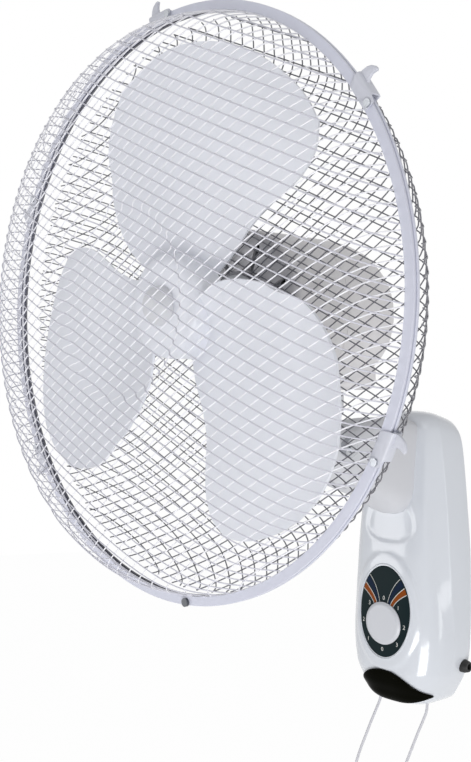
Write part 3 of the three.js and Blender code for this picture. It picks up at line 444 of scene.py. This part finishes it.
# clips: plates over both rings with a hooked finger tab, each turning on a rivet
clips = {"angles": (94, 34, -26, -146, 154), "low": -12.5, "step": 5.5, "high": 12.0, "slope": 3.0, "sheet": 1.0,
         "section": [(212.0, -305.2), (216, -305.9), (219.6, -306.0), (221.2, -305.4), (222.0, -303.8),
                     (222.1, -300.6), (222.0, -298.2), (221.4, -297.2), (217, -297.0)],
         "fin": [(219.5, 12), (223.5, 12.2), (227.5, 11.3), (230.4, 9.4), (232.3, 6.6), (232.7, 4.4), (231.6, 3.3),
                 (229.6, 4.2), (227.2, 4.6), (224.8, 3.9), (222.6, 2.2), (219.5, -3)],
         "finFront": -303.6, "finThick": 2.4}


def clipShell(u, v):
    # a strip bent over both rings: front plate, rounded shoulder, wall and a short rear lip
    section = clips["section"]
    k = v * (len(section) - 1)
    i = min(int(k), len(section) - 2)
    t = k - i
    r = section[i][0] * (1 - t) + section[i + 1][0] * t
    y = section[i][1] * (1 - t) + section[i + 1][1] * t
    start = clips["low"] + clips["step"] * soft((v - 0.3) / 0.12)
    end = clips["high"] - clips["slope"] * (1 - v / 0.35) ** 2 if v < 0.35 else clips["high"]
    return (r, y, guards["axisZ"] + (start + (end - start) * u))


for number, angle in enumerate(clips["angles"], 1):
    shell = formed("shell", 12, 24, clipShell, closed=False)
    thick = shell.modifiers.new("wall", "SOLIDIFY")
    thick.thickness = clips["sheet"] * mm
    thick.offset = 0
    applyAll(shell)
    tidyMesh(shell)
    soften(shell, 0.3, 2, 50)
    ops.mesh.primitive_circle_add(vertices=len(clips["fin"]), fill_type="NGON")
    fin = bpy.context.object
    for point, (r, along) in zip(fin.data.vertices, clips["fin"]):
        point.co = Vector((r, clips["finFront"], guards["axisZ"] + along)) * mm
    ops.object.mode_set(mode="EDIT")
    ops.mesh.select_all(action="SELECT")
    ops.mesh.extrude_region_move(TRANSFORM_OT_translate={"value": (0, clips["finThick"] * mm, 0)})
    ops.mesh.select_all(action="SELECT")
    ops.mesh.normals_make_consistent(inside=False)
    ops.object.mode_set(mode="OBJECT")
    soften(fin, 0.7, 3, 40)
    clip = joined(f"clip_{number}_shell", [shell, fin])
    turnAbout(clip, angle)
    smooth(clip, 40)
    dress(clip, clipPlastic, f"latch_{number}", (f"clip_{number}",))
print("rings and clips fitted")

# blades and hub, in one moulding
rotor = {"root": 33.0, "phase": 75, "thickness": 1.9, "lead": -286, "trail": -315, "camber": 4.0, "narrow": 0.78,
         "columns": 40, "rows": 30}
leadAngle = smoothReader([(33, -39), (52, -38.5), (66, -36.5), (80, -35), (94, -35), (119, -37.5), (139, -38.5),
                          (158, -37), (170, -33.5), (192, -29)])
trailAngle = smoothReader([(33, 52), (45, 56), (58, 58), (72, 56.5), (90, 53), (105, 50), (117, 46.5), (138, 43.5),
                           (158, 37.5), (171, 32), (179, 28), (192, 22)])
tipEdge = smoothReader([(0, 172), (0.08, 178), (0.25, 184), (0.45, 189), (0.65, 191.6), (0.8, 190.5), (0.92, 184),
                        (1, 173)])


def bladePlace(turn):
    def place(u, v):
        r = rotor["root"] + (tipEdge(u) - rotor["root"]) * v
        angle = math.radians(rotor["phase"] + turn + leadAngle(r) + (trailAngle(r) - leadAngle(r)) * u)
        narrow = rotor["narrow"] + (1 - rotor["narrow"]) * min(1, (r - 34) / 60)
        middle = (rotor["lead"] + rotor["trail"]) / 2
        y = middle + (rotor["lead"] - middle) * narrow * (1 - 2 * u) + rotor["camber"] * math.sin(math.pi * u)
        return (r * math.cos(angle), y, guards["axisZ"] + r * math.sin(angle))
    return place


blades = []
for i in range(3):
    blade = formed(f"blade_{i}", rotor["columns"], rotor["rows"], bladePlace(120 * i), closed=False)
    thick = blade.modifiers.new("wall", "SOLIDIFY")
    thick.thickness = rotor["thickness"] * mm
    thick.offset = 0
    applyAll(blade)
    tidyMesh(blade)
    blades.append(blade)
hub = turned("hub", [(4.4, -316.9), (28, -316.9), (31.5, -316.6), (34.4, -315.7), (36.6, -314.2), (38, -312),
                     (38.7, -309), (38.9, -305), (38.9, -289.1), (36.4, -289.1), (36.2, -308), (34, -312.5),
                     (30, -314.4), (10, -314.4), (10, -291), (4.4, -291)], sides=96)
fanBlades = joined("fan_blades_moulding", [hub, *blades])
smooth(fanBlades, 40)
dress(fanBlades, bladePlastic, "rotor", ("fan_blades",))
spinner = turned("blade_nut_dome", [(0, -328.9), (3, -328.8), (6, -328.2), (9, -327), (11.5, -325), (13.4, -322.4),
                                    (14.5, -320), (14.9, -317.3), (4.5, -317.3), (4.5, -321.4), (0, -321.4)],
                 sides=48)
smooth(spinner)
dress(spinner, whitePlastic, "rotor", ("blade_nut",))
print("rotor made")

# motor covers
motor = {"slots": 8, "slot": ((31, -243, -2.6), (54, -232, 2.6)), "slotRound": 2.4,
         "pod": ((-26.9, -168.9, 152.1), (26.9, -97.1, 176)), "podRound": 8.0,
         "podInside": ((-24.4, -166.4, 154.6), (24.4, -99.6, 190)), "insideRound": 5.6, "openingR": 18.9}
cover = turned("motor_front_shell", [(19.5, -237.5), (57.5, -237.5), (60.6, -236.9), (62.6, -235.2), (63.9, -232),
                                     (63.9, -180.2), (61.5, -180.2), (61.5, -231), (59.5, -234.4), (57, -235.1),
                                     (19.5, -235.1)], sides=96)
cutters = []
for i in range(motor["slots"]):
    slot = block("slot", *motor["slot"], motor["slotRound"], 4)
    slot.data.transform(Matrix.Translation((0, 0, guards["axisZ"] * mm)))
    turnAbout(slot, 360 / motor["slots"] * (i + 0.5))
    cutters.append(slot)
boolean(cover, joined("slots", cutters), "DIFFERENCE")
smooth(cover, 32)
dress(cover, motorPlastic, "head", ("motor_front_cover",))
bell = turned("motor_rear_shell", [(0, -89), (20, -90.2), (34, -94.5), (45, -101.5), (54, -112), (59.6, -123),
                                   (62.6, -136), (63.7, -149), (63.9, -166), (63.9, -179.8), (61.4, -179.8),
                                   (61.4, -166), (61.2, -149), (60.1, -136.6), (57.3, -124), (52, -113.5),
                                   (43.6, -103.5), (33, -97), (20, -92.8), (0, -91.6)], sides=96)
pod = block("pod", *motor["pod"], motor["podRound"], 6)
opening = turned("opening", [(0, 140), (motor["openingR"], 140), (motor["openingR"], 165), (0, 165)], (0, -138, 0),
                 "Z", 48)
inside = block("inside", *motor["podInside"], motor["insideRound"], 4)
boolean(pod, inside, "DIFFERENCE")
boolean(pod, opening, "DIFFERENCE")
rearCover = joined("motor_rear_shell", [bell, pod])
smooth(rearCover, 32)
dress(rearCover, motorPlastic, "head", ("motor_rear_cover",))
print("motor covers made")

# base housing: a glossy shell, squarish in plan, with a chamfer down each front corner
base = {"width": [(-135.5, 22), (-133.5, 29), (-129, 35), (-121, 40), (-112, 45), (-100, 50), (-80, 53.2),
                  (-45, 54.3), (0, 53.9), (45, 50.8), (85, 47.2), (106, 44.4), (116, 42), (124, 38), (130, 32),
                  (133.2, 24)],
        "depth": [(-135.5, 30), (-133.5, 40), (-129, 46), (-121, 50.5), (-112, 55), (-100, 57.6), (-80, 57.8),
                  (-45, 56), (0, 52.8), (45, 48.8), (85, 46.2), (106, 44), (116, 41.5), (124, 37), (130, 31),
                  (133.2, 23)],
        "squareness": 3.3, "wall": 2.4, "low": -135.5, "high": 133.2, "cap": 0.06, "spread": 0.08, "faceEnd": 0.62,
        "chamferEnd": 0.80, "sideBend": 1.6, "topCrown": 0.8, "bottomCrown": 0.4,
        "drop": {"deep": 7.0, "from": 96, "over": 34, "reach": 30, "bend": 1.4},
        "groove": {"least": 1.5, "fade": 4, "deep": 0.6, "wide": 2.0},
        "dish": {"z": 27, "half": 27.0, "below": 13.5, "above": 30.0, "deep": 1.5, "reach": 1.12, "edge": 0.25,
                 "top": 60, "fade": 20},
        "lip": {"high": 1.5, "reach": 1.34, "edge": 0.13},
        "valley": [(-135.5, 0.97, 0.38), (-86, 0.971, 0.38), (-68, 0.944, 0.524), (-44.5, 0.875, 0.673),
                   (-27, 0.824, 0.757), (-9, 0.767, 0.827), (20, 0.735, 0.868), (51, 0.735, 0.874),
                   (81, 0.776, 0.836), (100, 0.815, 0.785), (110, 0.86, 0.70), (131, 0.90, 0.62)],
        "ridge": [(-135.5, 0.975, 0.36), (-86, 0.975, 0.365), (-63, 0.972, 0.398), (-40, 0.960, 0.446),
                  (-17, 0.950, 0.482), (0, 0.942, 0.525), (40, 0.945, 0.560), (69, 0.936, 0.580), (100, 0.925, 0.61),
                  (110, 0.915, 0.60), (131, 0.92, 0.57)]}
baseWidth = smoothReader(base["width"])
baseDepth = smoothReader(base["depth"])
valleySide, valleyDeep = (smoothReader([(row[0], row[k]) for row in base["valley"]]) for k in (1, 2))
ridgeSide, ridgeDeep = (smoothReader([(row[0], row[k]) for row in base["ridge"]]) for k in (1, 2))
dial = {"z": -49, "halfWidth": 28.2, "halfHeight": 41.3, "knobZ": -60, "knobR": 19.4, "knobFront": -61.0,
        "panelProud": 1.85, "panelDeep": 1.4, "rimGap": 0.25, "rimWidth": 1.6, "rimProud": 2.35, "rimDeep": 1.0}


def plainFront(x, z):
    # depth of the shell's front at x, before its chamfers, lips and dishes: a squarish curve through the valley line
    w, d, n = baseWidth(z), baseDepth(z), base["squareness"]
    side, deep = valleySide(z), valleyDeep(z)
    across = side * w / (1 - deep ** n) ** (1 / n)
    return -d * max(0.0, 1 - min(1.0, abs(x) / across) ** n) ** (1 / n)


def frontFace(x, z):
    # the front with its chamfered corners, the dish under the arm and the lip round the dial
    w, d = baseWidth(z), baseDepth(z)
    valley, ridge = valleySide(z) * w, ridgeSide(z) * w
    a = abs(x)
    if a <= valley:
        y = plainFront(x, z)
    else:
        t = min(1.0, (a - valley) / max(ridge - valley, 0.01))
        y = -d * (valleyDeep(z) * (1 - t) + ridgeDeep(z) * t)
    groove, dish, lip = base["groove"], base["dish"], base["lip"]
    if ridge - valley > groove["least"]:
        fade = min(1.0, (ridge - valley - groove["least"]) / groove["fade"])
        y += groove["deep"] * fade * math.exp(-((a - valley) / groove["wide"]) ** 2)
    away = math.hypot(x / dish["half"], (z - dish["z"]) / (dish["below"] if z < dish["z"] else dish["above"]))
    y += dish["deep"] * soft((dish["reach"] - away) / dish["edge"]) * soft((dish["top"] - z) / dish["fade"])
    ring = math.hypot(x / dial["halfWidth"], (z - dial["z"]) / dial["halfHeight"])
    return y - lip["high"] * soft((lip["reach"] - ring) / lip["edge"])


def shellPlace(u, v):
    # u runs round the shell from wall to wall, v from bottom to top
    low, high, cap = base["low"], base["high"], base["cap"]
    shrink = 1.0
    if v < cap:
        shrink, z = math.sin(0.5 * math.pi * v / cap), low
    elif v > 1 - cap:
        shrink, z = math.sin(0.5 * math.pi * (1 - v) / cap), high
    else:
        t = (v - cap) / (1 - 2 * cap)
        t = t - base["spread"] * math.sin(2 * math.pi * t) / math.pi
        z = low + (high - low) * t
    w, d = baseWidth(z), baseDepth(z)
    s = 1 - 2 * u  # from +1 at the right to -1 at the left
    a = abs(s)
    front, corner = base["faceEnd"], base["chamferEnd"]
    valley, ridge = valleySide(z) * w, ridgeSide(z) * w
    if a <= front:
        x = valley * a / front
        y = frontFace(x, z)
    elif a <= corner:
        x = valley + (ridge - valley) * (a - front) / (corner - front)
        y = frontFace(x, z)
    else:
        t = (a - corner) / (1 - corner)
        x = ridge + (w - ridge) * (1 - (1 - t) ** base["sideBend"])
        y = -d * ridgeDeep(z) * (1 - t)
    x = math.copysign(x, s)
    if shrink < 1:
        x, y = x * shrink, y * shrink
    if v > 0.5:
        drop = base["drop"]  # the top falls away towards the board
        z += base["topCrown"] * (1 - shrink ** 2)
        near = 1 - min(1.0, abs(y) / drop["reach"])
        z -= drop["deep"] * soft((z - drop["from"]) / drop["over"]) * near ** drop["bend"]
    else:
        z -= base["bottomCrown"] * (1 - shrink ** 2)
    return (x, min(y, 0), z)


housing = formed("base_housing_shell", 170, 150, shellPlace, closed=False, flip=True)
wall = housing.modifiers.new("wall", "SOLIDIFY")
wall.thickness = base["wall"] * mm
wall.offset = -1
applyAll(housing)
smooth(housing, 32)
dress(housing, glossWhite, "base", ("base_housing",))
print("base housing made")


def ovalPatch(name, halfWidth, halfHeight, centreZ, proud, deep):
    # an oval slab that follows the front of the base, with its edge rolled over
    edge = [(0.0, 0.0), (0.5, 0.0), (0.85, 0.0), (0.955, 0.0), (0.978, -0.08), (0.992, -0.3), (1.0, -0.7),
            (1.0, -deep), (0.6, -deep), (0.0, -deep)]

    def place(u, v):
        k = u * (len(edge) - 1)
        i = min(int(k), len(edge) - 2)
        t = k - i
        r = edge[i][0] * (1 - t) + edge[i + 1][0] * t
        drop = edge[i][1] * (1 - t) + edge[i + 1][1] * t
        a = 2 * math.pi * v
        x, z = halfWidth * r * math.cos(a), centreZ + halfHeight * r * math.sin(a)
        return (x, plainFront(x, z) - proud - drop, z)
    return formed(name, 18, 72, place)


def ringPatch(name, halfWidth, halfHeight, centreZ, width, proud, deep):
    section = [(0, -deep), (0, proud * 0.5), (0.3, proud * 0.85), (0.8, proud), (width - 0.9, proud),
               (width - 0.3, proud * 0.8), (width, proud * 0.4), (width, -deep)]

    def place(u, v):
        k = min(int(round(u * len(section))), len(section)) % len(section)
        out, up = section[k]
        a = 2 * math.pi * v
        x, z = (halfWidth + out) * math.cos(a), centreZ + (halfHeight + out) * math.sin(a)
        return (x, plainFront(x, z) - up, z)
    return formed(name, len(section), 96, place)


bezel = ringPatch("dial_bezel_rim", dial["halfWidth"] + dial["rimGap"], dial["halfHeight"] + dial["rimGap"],
                  dial["z"], dial["rimWidth"], dial["rimProud"], dial["rimDeep"])
smooth(bezel)
dress(bezel, glossWhite, "base", ("dial_bezel",))
panel = ovalPatch("dial_panel_plate", dial["halfWidth"], dial["halfHeight"], dial["z"], dial["panelProud"],
                  dial["panelDeep"])
smooth(panel)
dress(panel, panelDark, "base", ("dial_panel",))

# printed marks on the dial panel: stripes that fan out above the knob, and plain numbers round it
marks = {"lift": 1.90,
         "stripes": [(ink, [(side * x, z) for x, z in points], start, end) for side in (-1, 1) for ink, points, start,
                     end in ( ("orange", [(8.7, -43.8), (11.4, -36.1), (23.8, -28.0)], 2.2, 5.2),
                             ("navy", [(5.9, -42.0), (8.9, -30.4), (20.0, -21.3)], 1.4, 5.6),
                             ("white", [(10.0, -45.0), (13.4, -37.1), (25.2, -30.8)], 0.45, 0.6),
                             ("white", [(7.4, -42.7), (10.2, -34.7), (22.3, -25.2)], 0.45, 0.6),
                             ("white", [(4.3, -41.6), (7.5, -26.5), (17.6, -17.5)], 0.35, 0.5))],
         "numbers": "01230123", "numberR": 23.0, "numberSize": 5.2, "within": 0.965, "ink": 0.03}
inks = {"orange": orangeInk, "navy": navyInk, "white": whiteInk}
lifts = {"navy": 0.0, "orange": 0.03, "white": 0.06}


def stripe(name, points, startWidth, endWidth, lift):
    a, b, c = (Vector((p[0], p[1])) for p in points)

    def place(u, v):
        p = a * (1 - u) ** 2 + b * 2 * u * (1 - u) + c * u * u
        way = ((b - a) * 2 * (1 - u) + (c - b) * 2 * u).normalized()
        width = startWidth + (endWidth - startWidth) * u
        x, z = p.x - way.y * width * (v - 0.5), p.y + way.x * width * (v - 0.5)
        out = max(1.0, math.hypot(x / dial["halfWidth"], (z - dial["z"]) / dial["halfHeight"]) / marks["within"])
        x, z = x / out, dial["z"] + (z - dial["z"]) / out
        return (x, plainFront(x, z) - marks["lift"] - lift, z)
    strip = formed(name, 24, 3, place, closed=False)
    thick = strip.modifiers.new("ink", "SOLIDIFY")
    thick.thickness = marks["ink"] * mm
    applyAll(strip)
    tidyMesh(strip, reach=0.000001)
    return strip


prints = {}
for k, (ink, points, start, end) in enumerate(marks["stripes"]):
    prints.setdefault(ink, []).append(stripe(f"stripe_{k}", points, start, end, lifts[ink]))
for k, figure in enumerate(marks["numbers"]):
    ops.object.text_add(location=(0, 0, 0))
    text = bpy.context.object
    text.data.body = figure
    text.data.size = marks["numberSize"] * mm
    text.data.align_x = "CENTER"
    text.data.align_y = "CENTER"
    text.data.extrude = 0.02 * mm
    text.data.resolution_u = 3
    ops.object.convert(target="MESH")
    text = bpy.context.object
    a = math.radians(90 - 360 / len(marks["numbers"]) * k)
    cx, cz = marks["numberR"] * math.cos(a), dial["knobZ"] + marks["numberR"] * math.sin(a)
    for point in text.data.vertices:
        x, z = cx + point.co.x / mm, cz + point.co.y / mm
        point.co = Vector((x, plainFront(x, z) - marks["lift"] - 0.06 - point.co.z / mm, z)) * mm
    tidyMesh(text, reach=0.000001)
    prints.setdefault("white", []).append(text)
for ink, pieces in prints.items():
    artwork = joined(f"dial_{ink}_marks", pieces)
    dress(artwork, inks[ink], "base")

# speed knob: a shallow disc with a rounded bevel
backY = plainFront(0, dial["knobZ"]) - 1.95
knobR, knobFront = dial["knobR"], dial["knobFront"]
speedKnob = turned("speed_knob_cap", [(0, knobFront + 0.35), (8, knobFront + 0.3), (14, knobFront + 0.1),
                                      (15.8, knobFront), (16.8, knobFront + 0.25), (17.8, knobFront + 0.8),
                                      (18.8, knobFront + 1.5), (19.5, knobFront + 2.3), (knobR, knobFront + 3.1),
                                      (knobR, backY), (17.5, backY), (17.5, backY - 1), (0, backY - 1)],
                   (0, 0, dial["knobZ"]), "Y", 72)
smooth(speedKnob, 25)
dress(speedKnob, knobWhite, "knob", ("speed_knob",))
print("dial made")

# smoked window low on the base
lens = {"half": 35.4, "corner": -123.2, "top": -101.6, "bottom": -131.2, "proud": 0.7, "inset": 0.25, "wall": 1.6,
        "topBend": 2.3, "bottomBend": 2.6, "edges": 5}


def lensPlace(u, v):
    s = 2 * u - 1
    x = lens["half"] * s
    upper = lens["corner"] + (lens["top"] - lens["corner"]) * (1 - abs(s) ** lens["topBend"])
    lower = lens["corner"] + (lens["bottom"] - lens["corner"]) * (1 - abs(s) ** lens["bottomBend"])
    z = lower + (upper - lower) * v
    w = baseWidth(z)
    x = max(-w * 0.96, min(w * 0.96, x))
    edge = min(1.0, lens["edges"] * min(v, 1 - v), lens["edges"] * (1 - abs(s)))
    return (x, plainFront(x, z) - lens["proud"] * math.sqrt(max(edge, 0.0)) - lens["inset"], z)


window = formed("window_lens_cap", 72, 24, lensPlace, closed=False, flip=True)
thick = window.modifiers.new("wall", "SOLIDIFY")
thick.thickness = lens["wall"] * mm
thick.offset = -1
applyAll(window)
smooth(window, 60)
dress(window, smokedBlack, "base", ("window_lens",))

# arm: a broad rounded tongue that grows out of the base and ends in a fork
arm = {"half": 25.0, "edge": 5.0, "keel": 63, "top": 126.8, "fall": 10.0, "fallFrom": 100, "fallOver": 20,
       "fork": ((-9.4, -170, 50), (9.4, -118.2, 140)), "pinR": 4.2, "pin": (0, -138, 104), "middle": (-76, 92),
       "outline": [(-3, 117), (-3, 46), (-18, 43), (-34, 40.5), (-48, 38.8), (-54, 39.5), (-60, 41.5), (-67, 45),
                   (-74, 49), (-83, 53), (-92, 57), (-102, 60.5), (-112, 64), (-123, 68), (-134, 72), (-141, 76),
                   (-148, 81), (-152.5, 86.5), (-156, 93), (-157.6, 99), (-158, 105), (-157, 110.5), (-154, 115),
                   (-150.5, 118), (-146, 119.5), (-139, 120), (-132, 120), (-127, 119.2), (-122, 119), (-117, 120.2),
                   (-112, 122), (-100, 125), (-90, 126), (-80, 126.5), (-67, 126.8), (-55, 126.5), (-42, 125),
                   (-30, 122), (-15, 119)]}


def armPlace(u, v):
    outline = arm["outline"]
    k = int(round(v * len(outline))) % len(outline)
    y, z = outline[k]
    s = 2 * u - 1
    a = abs(s)
    x = arm["half"] * s
    inward = arm["edge"] * (1 - math.sqrt(max(0.0, 1 - max(0.0, (a - 0.76) / 0.24) ** 2)))
    centre = Vector(arm["middle"])
    way = Vector((y, z)) - centre
    p = centre + way * (1 - inward / way.length)
    turnZ = arm["keel"] + max(0.0, -60 - y) * 0.36  # the underside is rounded like a keel
    height = p.y
    if height < turnZ:
        height = turnZ - (turnZ - height) * math.sqrt(max(0.0, 1 - min(1.0, a) ** 2.3)) ** (1.0 if y > -75 else 0.7)
    if height > arm["fallFrom"]:
        fall = arm["fall"] * (1 - math.sqrt(max(0.0, 1 - max(0.0, (a - 0.5) / 0.5) ** 2)))
        height -= fall * min(1.0, (height - arm["fallFrom"]) / arm["fallOver"])
    return (x, p.x, min(height, arm["top"]))


tongue = formed("neck_arm_moulding", 30, len(arm["outline"]), armPlace)
choose(tongue)
ops.object.mode_set(mode="EDIT")
ops.mesh.select_mode(type="EDGE")
ops.mesh.select_all(action="SELECT")
ops.mesh.region_to_loop()
ops.mesh.edge_face_add()
ops.mesh.select_all(action="SELECT")
ops.mesh.normals_make_consistent(inside=False)
ops.object.mode_set(mode="OBJECT")
fork = block("fork", *arm["fork"], 2.0, 3)
boolean(tongue, fork, "DIFFERENCE")
pinHole = turned("pin hole", [(0, -40), (arm["pinR"], -40), (arm["pinR"], 40), (0, 40)], arm["pin"], "X", 32)
boolean(tongue, pinHole, "DIFFERENCE")
smooth(tongue, 40)
dress(tongue, armPlastic, "base", ("neck_arm",))
print("arm made")

# cable gland low on the right side, with its bore blanked off
gland = turned("cable_gland_nut", [(0, 47), (5.9, 47), (5.9, 52.6), (5.5, 53.6), (4.9, 55.8), (4.4, 56.6),
                                   (2.8, 56.6), (2.5, 55.8), (2.5, 52), (0, 52)],
               (0, -6, -98), "X", 36)
smooth(gland)
dress(gland, blackPlastic, "base", ("cable_gland",))

# the nodes that keep their CAD shape take their finishes here
kept = {"wall_plate": pressedSteel, "housing_screw_left": zinc, "housing_screw_right": zinc,
        "speed_switch": greyPlastic, "control_board": boardGreen, "cord_eyelet_left": whitePlastic,
        "cord_eyelet_right": whitePlastic, "pull_switch_left": greyPlastic, "pull_switch_right": greyPlastic,
        "terminal_block": greyPlastic, "run_capacitor": greyPlastic, "tilt_pin": steel, "tilt_nut": steel,
        "swivel_post": armPlastic, "swivel_bush": brass, "front_end_bell": castAluminium,
        "rear_end_bell": castAluminium, "swivel_shaft": steel, "stator_core": coreSteel,
        "stator_winding_front": enamelledWire, "stator_winding_rear": enamelledWire, "front_bearing": steel,
        "rear_bearing": steel, "swing_gearbox": blackPlastic, "swing_crank": brass, "swing_link": steel,
        "motor_shaft": steel, "rotor_core": coreSteel, "ring_screw": darkSteel, "ring_nut": zinc,
        **{f"clip_rivet_{i}": zinc for i in range(1, 6)}}
for node, material in kept.items():
    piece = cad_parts[node]
    piece.data.materials.clear()
    piece.data.materials.append(material)
print("kept nodes finished")

# studio: a faint overhead softbox, front fill, a strong low lamp and a narrow strip on the right, a pale floor below
studio = {"world": 0.465, "lamps": [("overhead", (0.7, -1.3, 2.2), (1.2, 1.2), 3.5),
                                    ("front", (-1.7, -2.3, 0.2), (1.2, 1.6), 14),
                                   ("low front", (1.35, -1.5, -1.08), (1.2, 1.0), 25),
                                   ("strip", (2.3, 0.25, 0.2), (0.4, 1.8), 5)],
          "floor": -1.5, "floorR": 9, "glow": 0.98, "aim": (0, -0.15, 0.12)}
for name, place, size, power in studio["lamps"]:
    ops.object.light_add(type="AREA", location=place)
    lamp = bpy.context.object
    lamp.name = name
    lamp.data.shape = "RECTANGLE"
    lamp.data.size, lamp.data.size_y = size
    lamp.data.energy = power
    aim = Vector(studio["aim"]) - Vector(place)
    lamp.rotation_euler = aim.to_track_quat("-Z", "Y").to_euler()


def backgroundRay(nodes, links):
    # 1 for rays that see the background: straight from the camera, mirrored or through glass
    path = nodes.new("ShaderNodeLightPath")
    first = nodes.new("ShaderNodeMath")
    first.operation = "MAXIMUM"
    second = nodes.new("ShaderNodeMath")
    second.operation = "MAXIMUM"
    links.new(path.outputs["Is Camera Ray"], first.inputs[0])
    links.new(path.outputs["Is Glossy Ray"], first.inputs[1])
    links.new(first.outputs[0], second.inputs[0])
    links.new(path.outputs["Is Transmission Ray"], second.inputs[1])
    return second.outputs[0]


world = bpy.data.worlds.new("white room")
bpy.context.scene.world = world
world.use_nodes = True
nodes, links = world.node_tree.nodes, world.node_tree.links
plain = nodes["Background"]
plain.inputs["Color"].default_value = (1, 1, 1, 1)
level = nodes.new("ShaderNodeMapRange")
level.inputs["To Min"].default_value = studio["world"]
level.inputs["To Max"].default_value = 1.0
links.new(backgroundRay(nodes, links), level.inputs["Value"])
links.new(level.outputs["Result"], plain.inputs["Strength"])

ops.mesh.primitive_circle_add(vertices=96, radius=studio["floorR"], fill_type="NGON",
                              location=(0, 0, studio["floor"]))
floor = bpy.context.object
floor.name = "floor"
ops.object.transform_apply(location=True, rotation=True, scale=True)
paper = bpy.data.materials.new("white paper floor")
paper.use_nodes = True
nodes, links = paper.node_tree.nodes, paper.node_tree.links
shader = nodes["Principled BSDF"]
shader.inputs["Base Color"].default_value = (0.86, 0.86, 0.86, 1)
shader.inputs["Roughness"].default_value = 0.9
glow = nodes.new("ShaderNodeEmission")
glow.inputs["Strength"].default_value = 1.0
share = nodes.new("ShaderNodeMath")
share.operation = "MULTIPLY"
share.inputs[1].default_value = studio["glow"]
links.new(backgroundRay(nodes, links), share.inputs[0])
blend = nodes.new("ShaderNodeMixShader")
links.new(share.outputs[0], blend.inputs["Fac"])
links.new(shader.outputs[0], blend.inputs[1])
links.new(glow.outputs[0], blend.inputs[2])
links.new(blend.outputs[0], nodes["Material Output"].inputs["Surface"])
floor.data.materials.append(paper)
bpy.context.scene.view_settings.view_transform = "Standard"
print("studio lit")
